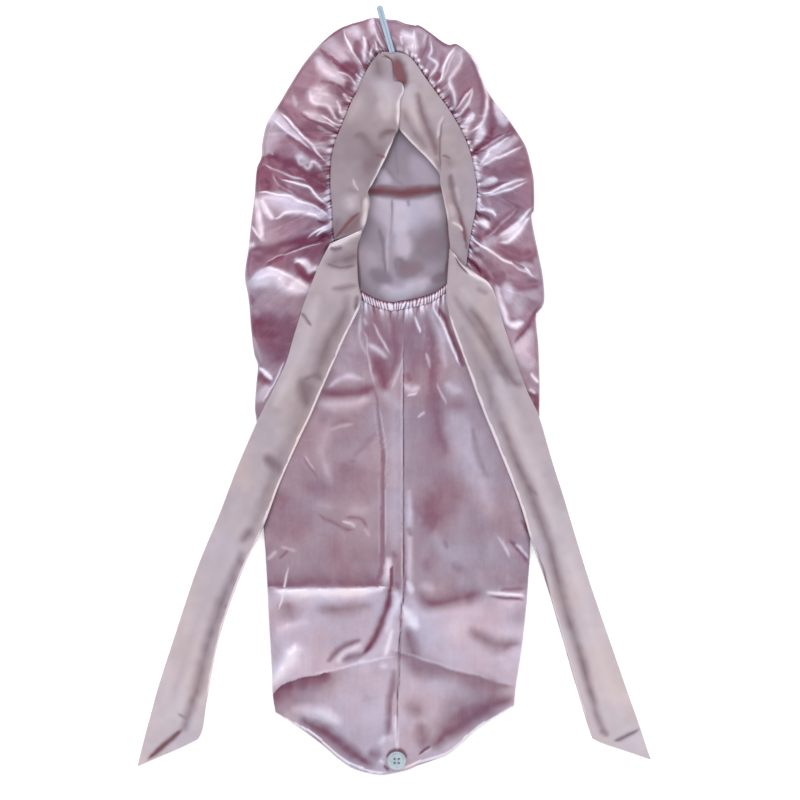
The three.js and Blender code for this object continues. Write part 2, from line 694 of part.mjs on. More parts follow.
// Elastic cord doubled to a loop, both ends sewn in at the band's top
function buttonLoop(below) {
  const base = flat(LOOP_BASE);
  const tip = flat(LOOP_TIP);
  const along = tip.clone().sub(base);
  const length = along.length() - LOOP_WIDTH / 2 - LOOP_CORD / 2;
  along.normalize();
  const across = new THREE.Vector3(-along.y, along.x, 0);
  const points = [];
  const straight = 9;
  for (const hand of [-1, 1]) {
    for (let i = 0; i <= straight; i += 1) {
      const share = hand < 0 ? i / straight : 1 - i / straight;
      const half = lerp(LOOP_WIDTH * 0.4, LOOP_WIDTH / 2, share);
      const point = base.clone().addScaledVector(along, length * share);
      points.push(point.addScaledVector(across, hand * half));
    }
    if (hand < 0) {
      for (let i = 1; i < 6; i += 1) {
        const angle = (Math.PI * i) / 6;
        const point = base.clone().addScaledVector(along, length + (LOOP_WIDTH / 2) * Math.sin(angle));
        points.push(point.addScaledVector(across, (-LOOP_WIDTH / 2) * Math.cos(angle)));
      }
    }
  }
  const reach = LOOP_CORD;
  for (const point of points) {
    const rest = Math.max(clearHeight(below, point.x, point.y, reach), 2 * CROWN_RIM);
    point.z = rest + GAP + LOOP_CORD / 2 + 0.2;
  }
  const path = new THREE.CatmullRomCurve3(points, false, 'centripetal');
  const section = new THREE.Shape();
  section.absarc(0, 0, LOOP_CORD / 2, 0, 2 * Math.PI, false);
  return new THREE.ExtrudeGeometry(section, {
    steps: 30,
    curveSegments: 4,
    bevelEnabled: false,
    extrudePath: path,
  });
}

const satin = new THREE.MeshStandardMaterial({ color: 0xbfa0bd, roughness: 0.3, metalness: 0 });
const bandCloth = new THREE.MeshStandardMaterial({ color: 0xc0b2b8, roughness: 0.75, metalness: 0 });
const gathered = new THREE.MeshStandardMaterial({ color: 0xcdb4cb, roughness: 0.4, metalness: 0 });
const shell = new THREE.MeshStandardMaterial({ color: 0xb9c8d2, roughness: 0.35, metalness: 0 });
const threadWhite = new THREE.MeshStandardMaterial({ color: 0xd5dde2, roughness: 0.8, metalness: 0 });
const elastic = new THREE.MeshStandardMaterial({ color: 0xafc6da, roughness: 0.7, metalness: 0 });

function named(name, geometry, material) {
  const mesh = new THREE.Mesh(geometry, material);
  mesh.name = name;
  return mesh;
}

const bonnet = new THREE.Group();
bonnet.add(named('satin_back', backPanel(), satin));
const front = FRONT_PANELS.map((panel) => frontPanel(panel.from, panel.to));
FRONT_PANELS.forEach((panel, index) => bonnet.add(named(panel.name, front[index], satin)));

const band = stripSolid(bandRows(), BAND_THICKNESS);
bonnet.add(named('face_band', band, bandCloth));
bonnet.add(named('nape_casing', napeCasing(), gathered));
const leftTie = stripSolid(tieRows(TIE_LEFT, TIE_LEFT_END, front, 'left'), BAND_THICKNESS);
const rightTie = stripSolid(tieRows(TIE_RIGHT, TIE_RIGHT_END, front, 'right'), BAND_THICKNESS);
bonnet.add(named('tie_left', leftTie, bandCloth));
bonnet.add(named('tie_right', rightTie, bandCloth));

const clothUnderButton = clearHeight(front, BUTTON_PLACE.x, BUTTON_PLACE.y, BUTTON_DIAMETER / 2);
const clothUnderShank = clearHeight(front, BUTTON_PLACE.x, BUTTON_PLACE.y, SHANK_RADIUS);
const buttonSeat = clothUnderButton + GAP;
bonnet.add(named('button', button(buttonSeat), shell));
bonnet.add(named('button_thread', buttonThread(buttonSeat, clothUnderShank), threadWhite));
bonnet.add(named('button_loop', buttonLoop([...front, band]), elastic));

export default bonnet;
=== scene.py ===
"""An extra-long satin sleep bonnet lying on its back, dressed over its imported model.

Lengths inside the shaping functions are millimetres in the object's frame: +X right, +Y towards
the crown, +Z up. Places read off the photograph are chart places: pixels of its 800 x 800 frame.
"""

import math
from collections import namedtuple

import bpy
import numpy as np
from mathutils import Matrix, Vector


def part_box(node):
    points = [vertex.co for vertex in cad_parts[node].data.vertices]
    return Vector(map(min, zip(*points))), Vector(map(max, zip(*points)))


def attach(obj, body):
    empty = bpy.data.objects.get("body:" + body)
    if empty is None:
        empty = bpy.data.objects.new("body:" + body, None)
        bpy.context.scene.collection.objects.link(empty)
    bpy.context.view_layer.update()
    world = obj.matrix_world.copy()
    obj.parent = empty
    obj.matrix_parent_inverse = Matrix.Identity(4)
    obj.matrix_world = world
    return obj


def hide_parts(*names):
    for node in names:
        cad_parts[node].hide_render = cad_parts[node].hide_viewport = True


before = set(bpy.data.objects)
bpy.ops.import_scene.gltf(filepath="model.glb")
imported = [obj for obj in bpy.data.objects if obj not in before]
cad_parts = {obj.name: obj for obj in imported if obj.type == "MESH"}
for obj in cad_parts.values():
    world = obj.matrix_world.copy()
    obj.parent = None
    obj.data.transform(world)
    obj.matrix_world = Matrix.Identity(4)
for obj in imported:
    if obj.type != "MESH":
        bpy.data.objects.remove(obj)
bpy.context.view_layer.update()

bl_info = {
    "name": "Satin Sleep Bonnet",
    "version": (1, 1, 0),
    "blender": (4, 5, 0),
    "location": "View3D > Sidebar > Bonnet",
    "description": "Models an extra-long satin sleep bonnet with its band, ties, button and loop",
    "category": "Object",
}

ROOT = "root"
MM = 0.001
CHART_MM = 0.925        # one chart pixel on the bonnet
CHART_X = 394.3         # chart place of the object's origin
CHART_Y = 391.5

# One charted mark on the cloth. kind: line is a crisp crest or crease, soft a round swell or hollow,
# edge is sharp on the right of its path and fades on the left, strip is a flat ribbon with crisp sides
# and width is half of it. tone: painted shade and highlight, from -1 the deepest painted shade to +1
# the brightest painted sheen, and the cloth rises with it. width in mm. points: chart places.
Mark = namedtuple("Mark", "kind tone width points")


def chart_marks(kind, rows):
    """Marks of one kind, from rows of tone, width and then the chart places of the path."""
    return [Mark(kind, tone, width, points) for tone, width, *points in rows]


# Walls in metres. Real satin is 0.2 mm thick; it is drawn about twice that, so that its edges show.
SATIN_WALL = 0.00045
BACK_WALL = 0.0005

# Heights and slopes of the front layer, in mm
TIP_LOFT = 6                # height of the tail at its tip
TIP_RISE = (-335, -285)     # where the tail rises from its tip to its full height, along Y
SEAM_SLOPE = 26             # the cloth is at its full height this far from the band's seam,
TAIL_SLOPE = 32             # this far from the tail's outer edge
CROWN_SLOPE = 62            # and this far from the crown's
SEAM_TUCK = 2.5             # the crown runs this far in under the band
TUCK_DEPTH = 2.2            # and lies this far below the band's seam there

# The back layer, in mm
BACK_HEIGHT = 0.65          # its upper face over the surface
BACK_INSET = 0.7            # its edge inside the pouch's outline
RIM_DROP = 0.9              # its outermost row under the rounded rim, before BACK_HEIGHT is added
OPENING_X = (-40.0, 56.0)   # where its mesh is fine, because it shows through the face opening
OPENING_Y = (78.0, 250.0)

# The band and the ties, in mm
BAND_SINK = 1.6             # underside of the band below the seam's height
BAND_LAP = 2.0              # rise of one half where it lies over the other
TIE_GAP = 0.1               # between a tie and the cloth under it
CASING_SINK = 0.2           # middle of the nape casing below the seam's height

# Lower left corner, width and length of the map of the cloth's top, and its cell, in mm
MAP_CORNER = (-270.0, -390.0)
MAP_WIDTH = 540
MAP_LENGTH = 780
MAP_CELL = 3.0
MAP_SPREAD = 2              # how many cells the high places are widened by

# Gathers along a seam, from fine to coarse: pitch, height and reach in mm, and seed
CROWN_GATHERS = ((3.0, 0.7, 2.4, 20), (6.4, 1.2, 5.5, 21), (13.0, 1.5, 15, 22), (31.0, 1.3, 44, 23))
NAPE_GATHERS = ((5.2, 0.8, 8, 24), (11.0, 0.9, 24, 25))

# Charted paths waver a little, so that none looks ruled: amount and size in mm, and seed
WAVER = ((0.55, 11, 3), (0.3, 3.6, 5))

# Small puffs between the crown's gathers, given a painted highlight: radius and height in mm, and the tone
# of that painted highlight
PUFF_RADIUS = 1.9
PUFF_HEIGHT = 0.7
PUFF_TONE = 1.05

CROWN_DEEPENING = 0.18      # how far the crown's middle tones are pulled darker
DOUBLED_CONTRAST = 1.4      # how much stronger tones are on the doubled band and ties

# The loop's foot and tip in chart places, and the last cloth under it along Y in mm
LOOP_FOOT = (392.2, 53.5)
LOOP_TIP = (379.9, 9.3)
LAST_CLOTH = 338

# Rings turned in the button's face from its rim inwards, width and depth in metres, and its rounding
BUTTON_RINGS = ((0.0009, 0), (0.0007, -0.0006), (0.0022, -0.0002))
BUTTON_ROUNDING = 0.00035

# The button's stitches, in mm
STITCH_WIDTH = 0.55
STITCH_THICKNESS = 0.45
STITCH_TOP = 0.75           # below the button's rim
STITCH_ARCH = 0.12          # rise of the thread over the face
STITCH_SINK = 3.2           # its fall through the holes
HOLE_AT = 0.72              # share of the run where it turns down into a hole

# Sizes of the materials' patterns, in mm. Real threads lie 0.1 mm apart, too fine for the picture,
# so the waver of the threads is drawn at the two sizes below.
SATIN_THREADS = 2.381
BAND_THREADS = 1.4286
SATIN_CLOUDS = 16.667       # faint random patches of stronger and weaker painted sheen
WRONG_SIDE_CLOUDS = 22.222
BAND_CLOUDS = 26.316
KNIT_CLOUDS = 3.3333        # uneven dye of the cord, about one of its ribs long
BUTTON_CLOUDS = 6.25        # the pearl's cloudiness
COLOUR_DRIFT = 58.824       # patches of a slightly warmer and a slightly cooler white
CAST_RANGE = (0.36, 0.64)   # where the drift changes from one to the other

# The stage. A lamp has its place and its size in metres and its power in watts.
LAMPS = {
    "window": ((-1.5, 0.9, 1.7), (1.2, 1.6), 13),
    "fill": ((1.7, 0.2, 1.6), (0.7, 2.0), 9),
    "top": ((0.1, 1.8, 1.3), (1.6, 0.6), 8),
}
ROOM_LIGHT = 0.72
PAPER_GLOW = 0.3
FLOOR_WIDTH = 16
FLOOR_LEVEL = -0.0006
CAMERA_PLACE = (0.0053, -0.0079, 2.4)
CAMERA_SENSOR = 36          # width in mm
CAMERA_DISTANCE = 2.39      # from the lens to the cloth's mean height
PICTURE_WIDTH = 0.740       # of the picture, measured on the cloth

# Outer edge of the pouch in chart places, from the crown's top down each side
EDGE_LEFT = [
    (373, 16.5), (362.8, 20), (341, 27), (322.7, 40.7), (304.3, 62.5), (289.4, 85.4), (277.9, 105),
    (268.7, 118.7), (264.7, 129), (261.8, 144), (261.2, 156.6), (256.6, 168), (254.9, 186.5),
    (254.5, 195), (250.7, 224), (248.4, 247), (245.4, 266), (244.9, 279.5), (248.4, 299),
    (250.7, 327), (253.8, 353), (257.6, 365), (256, 383.7), (254.5, 406.6), (256, 420),
]
EDGE_RIGHT = [
    (373, 16.5), (387.4, 19), (396.6, 19.5), (411, 25), (418.8, 24.5), (428, 30), (447, 43.6),
    (456.5, 43), (469, 52), (477, 62), (488.4, 91.4), (507.5, 117), (517.8, 132), (526.7, 147.6),
    (533, 173), (534.3, 186), (534.3, 209), (531.7, 217), (537.8, 249), (543, 275), (544.7, 298),
    (542.4, 307), (536.3, 316), (538.6, 345), (540, 382), (539.7, 420),
]
SIDE_LEFT = [(256, 420), (259, 480), (264, 540), (266.6, 581), (268.5, 620), (271.3, 668),
             (272.2, 694), (275, 713.3)]
SIDE_RIGHT = [(539.7, 420), (536, 480), (531, 540), (530.2, 559), (528.3, 585), (526.5, 609),
              (521.9, 650), (516.3, 686.5), (514.5, 706.8)]
HEM_LEFT = [(275, 713.3), (301.8, 730.8), (324, 747.5), (338.8, 760.4), (355.4, 770.6),
            (379.5, 776), (396.5, 774)]
HEM_RIGHT = [(514.5, 706.8), (479.3, 729), (462.7, 743.8), (446, 756.7), (423.9, 764),
             (409, 770.6), (396.5, 774)]

# Band seam round the face, from the top down each side to the ends of the nape
SEAM_LEFT = [(389.5, 53), (376.6, 53.3), (366.3, 71.7), (359.4, 86.6), (350, 105), (343.3, 122),
             (338.7, 132.5), (333, 149.7), (330.7, 167), (330.3, 190), (331.9, 210.6), (334, 238),
             (345, 272), (358.5, 298)]
SEAM_RIGHT = [(389.5, 53), (401, 53), (408, 57), (418.3, 67.5), (431.7, 86.6), (447, 107),
              (456.5, 122), (466.7, 142.4), (473, 163), (477, 190), (476.3, 210), (472.4, 226),
              (469.3, 244), (467.4, 262.7), (458, 280), (446.5, 292)]
NAPE = [(358.5, 298), (371, 304.6), (380.5, 308.4), (391.4, 310.6), (403.5, 309), (418.8, 306),
        (431.5, 302), (446.5, 292)]
NAPE_TOP = [(357.5, 289), (371, 296), (380.5, 300), (391.4, 302.3), (399.6, 301), (409, 299.6),
            (418.8, 297.6), (431.5, 293.6), (440, 288.4), (447, 282.8)]
CENTRE_SEAM = [(403.5, 309), (403.5, 590), (399.8, 638), (398, 668), (397, 747.5), (396.5, 774)]

# The band's two halves, as chart places of the outer and the inner edge at each row, top to bottom
BAND_LEFT = [
    ((379.5, 53.2), (383, 55.4)), ((372, 62), (391, 59.8)), ((366.3, 71.5), (393.8, 66.5)),
    ((361, 82), (395.5, 78.5)), ((357, 92), (402.6, 84)), ((352, 101), (404, 92)),
    ((348, 110.5), (400.4, 100.5)), ((342.5, 124), (400, 114)), ((338.5, 133.3), (398.6, 129)),
    ((335, 142), (395.2, 135.6)), ((332, 154), (387.6, 154.4)), ((330.7, 167), (379.4, 171)),
    ((330.3, 180), (372.6, 184)), ((330.6, 193), (368.2, 191.8)), ((331.9, 208), (370.2, 201)),
    ((332.6, 220), (368, 214)), ((333.4, 231), (366, 223)), ((334.2, 241), (363, 230.6)),
]
BAND_RIGHT = [
    ((382, 52.6), (380, 56)), ((396, 52.8), (387.5, 58)), ((408, 56.5), (391.5, 62)),
    ((416.5, 65), (393, 74)), ((424, 76), (396, 88)), ((431.7, 86.8), (398, 100)),
    ((439.5, 97), (398.2, 112)), ((447, 107), (398.4, 127)), ((456.5, 122), (407.6, 139)),
    ((462, 132), (417, 148.6)), ((466.7, 142.6), (428, 159.6)), ((471, 155), (438.6, 173.2)),
    ((475, 172), (440, 182.8)), ((477, 190), (442, 191.5)), ((476.4, 206), (445.4, 208)),
    ((474, 220), (447.6, 221)), ((471.4, 232), (448.8, 236)), ((469.4, 244), (450, 246)),
    ((467.6, 256), (449.4, 258)), ((466.4, 268), (448.2, 270)),
]

# The ties, as chart places of the left and the right edge at each row, top to bottom
TIE_LEFT = [
    ((330, 244.6), (362.6, 229.6)), ((328.8, 247.6), (361, 236)), ((325.6, 253.5), (357.6, 246)),
    ((319, 267), (357.2, 262)), ((310.4, 288.7), (358.6, 284)), ((304.5, 304), (361.5, 299)),
    ((301.2, 314.4), (358.4, 311)), ((293.6, 339), (346.6, 334.6)), ((286, 363.8), (334.4, 362)),
    ((275, 386.7), (322.8, 388)), ((263, 409.7), (310.5, 416.5)), ((255, 426), (300.6, 437)),
    ((237, 466.7), (280.4, 482)), ((219.5, 512.7), (263, 527.6)), ((196.5, 568.8), (243, 569)),
    ((173.6, 637.7), (219.4, 636)), ((158, 686), (206.7, 699)), ((150, 715), (200.4, 734.6)),
    ((143, 741), (187, 745.6)), ((137.6, 763), (151, 761.4)), ((136.6, 767.8), (137.6, 767.4)),
]
TIE_RIGHT = [
    ((449.4, 249), (455, 254.4)), ((448.8, 257), (462, 264.6)), ((448, 268), (476, 274.4)),
    ((447, 282), (489, 284.4)), ((446.2, 300), (496, 299.6)), ((451.6, 325), (503, 324.6)),
    ((464, 359), (513.6, 356.4)), ((476.6, 394.4), (527, 391)), ((486.5, 420), (539, 416.4)),
    ((503, 460), (552, 459)), ((520, 504), (565.4, 501)), ((532, 543), (578, 543)),
    ((546.7, 584), (592, 587.6)), ((561, 632.7), (608, 634)), ((575.7, 683.6), (626, 686)),
    ((590.3, 732), (640.4, 727)), ((597.6, 742), (645, 741)), ((627, 752.4), (649, 753)),
    ((651, 760.6), (652, 761)),
]

# Painted shade and highlight of the crown's folds on its left side, from the parting at the top down to the
# tail
CROWN_LEFT = chart_marks("soft", [
    (-0.45, 13, (352, 66), (345, 92), (332, 120), (322, 140), (318, 162), (316, 186)),
    (-0.3, 16, (316, 66), (298, 84), (288, 98)),
    (-0.45, 12, (262, 136), (274, 148), (290, 158)),
    (-0.75, 11, (256, 268), (270, 262), (290, 256), (312, 250), (328, 246)),
    (0.15, 9, (285, 108), (276, 122), (268, 140), (264, 160)),
    (0.5, 5, (347, 29), (355, 30), (357, 38)),
    (-0.6, 3, (357, 44), (357, 52), (361, 60)),
    (-0.9, 2.2, (378, 44), (380, 50)),
    (-1, 2, (376.5, 19), (379, 23)),
    (0.7, 3, (375, 17.5), (372, 24), (372.5, 34)),
    (0.35, 6, (327, 38), (336, 52), (345, 61)),
    (-0.9, 3.6, (347, 66.5), (353.5, 70), (358.5, 79)),
    (-0.55, 1.8, (320.5, 50), (327, 56), (334, 61.5)),
    (-1.05, 2.6, (335, 62.5), (343.5, 70), (351, 78), (358.5, 87)),
    (0.62, 5, (318.5, 60), (323.5, 69), (333, 77), (345, 85)),
    (-0.6, 3.5, (349, 86), (355, 95)),
    (0.5, 7, (313, 95), (324.5, 97.5)),
    (0.5, 7, (313.5, 95.5), (324, 99), (336, 105.5)),
    (-0.35, 3, (319.5, 111), (330, 116.5), (337.5, 123)),
    (0.6, 4, (305.5, 115.5), (313.5, 117.5), (324, 120)),
    (0.5, 2.5, (319.5, 128), (327.5, 131.5), (337, 137)),
    (-0.55, 6, (279, 104), (289, 113), (296, 121), (307, 129.5), (317, 135.5), (328, 139)),
    (0.45, 4, (313.5, 146), (324, 148), (331, 151)),
    (0.2, 2, (294, 97), (296, 106)),
    (0.45, 3, (274, 114), (288, 127), (303, 141)),
    (0.6, 5, (270, 119), (274, 117)),
    (-0.75, 3, (289, 137.5), (300.5, 146), (309, 153), (317, 159), (324, 164.5), (330, 168)),
    (0.5, 5, (300, 160), (305, 163)),
    (-1, 4.5, (262, 158), (269.5, 157.5), (279, 161.5), (289, 166.5), (299.5, 170.5), (309, 175.5),
     (317, 183), (327.5, 186)),
    (-0.95, 12, (260, 168), (266, 178), (264, 188)),
    (-0.9, 9, (276, 168), (296, 176), (314, 184), (328, 186)),
    (-0.3, 13, (282, 226), (298, 229), (316, 230)),
    (-0.35, 4, (296, 192), (303, 192.5), (313.5, 199.5), (324, 207.5)),
    (0.8, 2.5, (326, 202), (329, 203)),
    (-0.9, 2.8, (282, 188.5), (292.5, 194), (303, 199.5), (317, 205.5), (327.5, 211.5), (331, 214.5)),
    (0.6, 7, (261, 199.5), (282, 203), (303, 209.5), (320.5, 216.5)),
    (0.8, 3, (257, 201), (259, 222), (262.5, 239.5)),
    (0.8, 2.5, (251.5, 245), (252.5, 248)),
    (-0.35, 5, (283.5, 233.5), (303, 223.5), (313.5, 222)),
    (-0.95, 4, (282, 247.5), (296, 244.5), (306.5, 241), (317, 238), (332.5, 239)),
    (-0.5, 4, (252.5, 249.5), (268, 251), (289, 250), (300.5, 249)),
    (-0.6, 8, (250.5, 257), (261, 261), (275, 256)),
    (-0.35, 7, (293, 259), (299, 260)),
    (0.85, 3.5, (298, 261.5), (306.5, 264), (311, 272), (317, 268.5)),
    (-1, 3.5, (298, 266.5), (303, 274.5), (310, 279.5), (314.5, 274.5)),
    (0.75, 7, (254, 283), (275, 279), (289, 286), (309.5, 290.5)),
    (-0.35, 3, (250.5, 298), (252.5, 302)),
    (0.2, 3, (255, 313), (257, 316)),
    (-0.8, 12, (253.5, 323.5), (275.5, 337), (280, 355)),
    (-0.6, 10, (290, 322), (288, 345)),
    (-0.7, 4, (258, 375.5), (267, 381)),
    (0.5, 4, (258, 399.5), (267, 389.5)),
    (0.85, 3, (262, 202), (266, 211), (272, 218.5)),
    (0.75, 5, (256, 279), (266, 273.5), (276, 275)),
]) + chart_marks("line", [
    (-1, 1.3, (316, 47.6), (330, 35.8), (341, 29), (352, 24.8), (362.8, 21.8), (372, 18.4)),
    (1, 1.2, (344.5, 29), (346, 38), (350.5, 48.5), (355, 56.5), (361, 64.5), (365, 71.5)),
    (0.95, 2, (363.5, 35), (365, 45.5), (364, 55), (365.5, 64), (366.5, 68)),
    (-0.6, 1.3, (367.5, 41), (369, 51.5), (368, 61)),
    (0.95, 1.4, (372.5, 47), (370.5, 55), (372.5, 59.5), (376.5, 51.5), (376.5, 45.5), (374, 40)),
    (0.8, 1.5, (373.5, 25), (376.5, 36.5), (382, 45.5), (386.5, 49.5)),
    (-0.7, 1, (331.5, 56.5), (339, 65.5)),
    (0.3, 1.2, (346.5, 50), (353.5, 58), (362.5, 70)),
    (0.6, 1.6, (336, 73), (349.5, 78.5), (357.5, 88.5)),
    (0.6, 1.2, (356.5, 75.5), (360.5, 81.5)),
    (-0.7, 1.2, (336.5, 86), (343.5, 91.5), (351, 102)),
    (0.6, 2, (343.5, 94.5), (350.5, 103)),
    (-0.35, 1.5, (320.5, 83), (336, 86)),
    (0.8, 2, (310, 90), (311, 100.5), (317, 105.5), (327.5, 107), (331, 111), (337, 120), (342.5, 121)),
    (0.9, 1.5, (337, 101), (340.5, 109.5), (341, 114.5), (344.5, 117.5)),
    (0.9, 1.2, (306, 118), (313, 121.5), (320.5, 122.5), (328.5, 124.5), (338, 130)),
    (1, 1.2, (321.5, 116), (327.5, 120), (334, 124.5), (340.5, 127)),
    (-0.7, 1.6, (300.5, 114), (303, 118), (310, 121.5), (319.5, 125), (327.5, 129.5), (337, 133.5)),
    (-0.8, 1.2, (287.5, 113), (293.5, 122.5), (303, 131.5), (311.5, 137.5), (320.5, 141)),
    (0.9, 1.6, (270, 116), (276.5, 123), (285, 130), (292.5, 136.5), (301, 142.5), (307.5, 147.5),
     (313.5, 153)),
    (-0.4, 1, (279.5, 113), (289, 123.5), (299.5, 135), (309, 146)),
    (1, 1.4, (277, 110.5), (285.5, 118), (294.5, 127), (303, 137), (312.5, 146), (316.5, 153),
     (324, 161), (330.5, 164.5)),
    (0.6, 2.5, (296, 157.5), (299.5, 164.5), (303, 166), (309, 170), (313, 163), (317, 165),
     (320.5, 169.5), (323, 174)),
    (0.25, 2, (261, 155.5), (269.5, 152.5), (275, 155.5)),
    (0.4, 1.2, (262, 163.5), (271.5, 168), (283.5, 173), (293.5, 178.5), (303, 181), (309, 185.5)),
    (0.15, 1.2, (272.5, 172), (275, 180), (282, 187), (292.5, 194), (299.5, 199.5)),
    (-0.9, 1.5, (276, 177), (279.5, 182.5), (289, 190.5)),
    (1, 1.5, (279.5, 179), (285.5, 181), (294.5, 183.5), (303, 186), (310, 189), (316, 195.5),
     (320.5, 200.5), (327, 206), (330, 204)),
    (1, 1.4, (254, 193), (261, 192.5), (268, 192.5), (276.5, 195), (290.5, 197), (299.5, 202.5),
     (313.5, 206), (319.5, 210), (326.5, 215), (332, 218)),
    (0.9, 1.8, (272, 219), (278, 218.6), (283.5, 214.4), (290.5, 213), (306.5, 213.5), (316, 217),
     (323, 222)),
    (0.9, 1.2, (252, 225), (256, 233.5), (262, 239.5)),
    (-0.9, 1.5, (318, 222), (324, 223.5), (332, 222)),
    (1, 1.2, (307.5, 239), (313.5, 234.5), (323, 229), (330.5, 226)),
    (0.9, 1.2, (316, 237.5), (323, 232), (331, 228.5)),
    (-1.15, 1.4, (247, 281.5), (254, 275.5), (260.4, 270.2), (269.6, 264.1), (278.8, 259), (291, 252.9),
     (301.2, 247.8), (313.5, 243.2), (326.7, 241.6), (333, 240.4)),
    (0.35, 0.9, (262, 266), (269, 261.4), (278, 256.6), (288, 254.8), (301, 250), (313, 245.6),
     (326, 244)),
    (0.95, 1.8, (248.5, 282), (253, 277), (258.4, 272.2), (264, 268.8), (269, 267.6), (274, 268.8),
     (280, 271.4), (286, 274.4), (293, 278.4), (303.3, 285.5), (310.4, 289)),
    (0.85, 1.6, (277.8, 277.3), (284.9, 285.5), (290, 290), (297, 291.6), (307.3, 292.7)),
    (-0.4, 1, (290, 323.5), (298, 319)),
    (0.2, 1.8, (253.5, 336), (257, 348.5), (262.5, 364)),
    (1.2, 2.2, (259.5, 367.5), (265, 372.5), (273, 380)),
    (0.9, 1.2, (284.5, 361), (275.5, 381.5), (261.5, 403)),
])
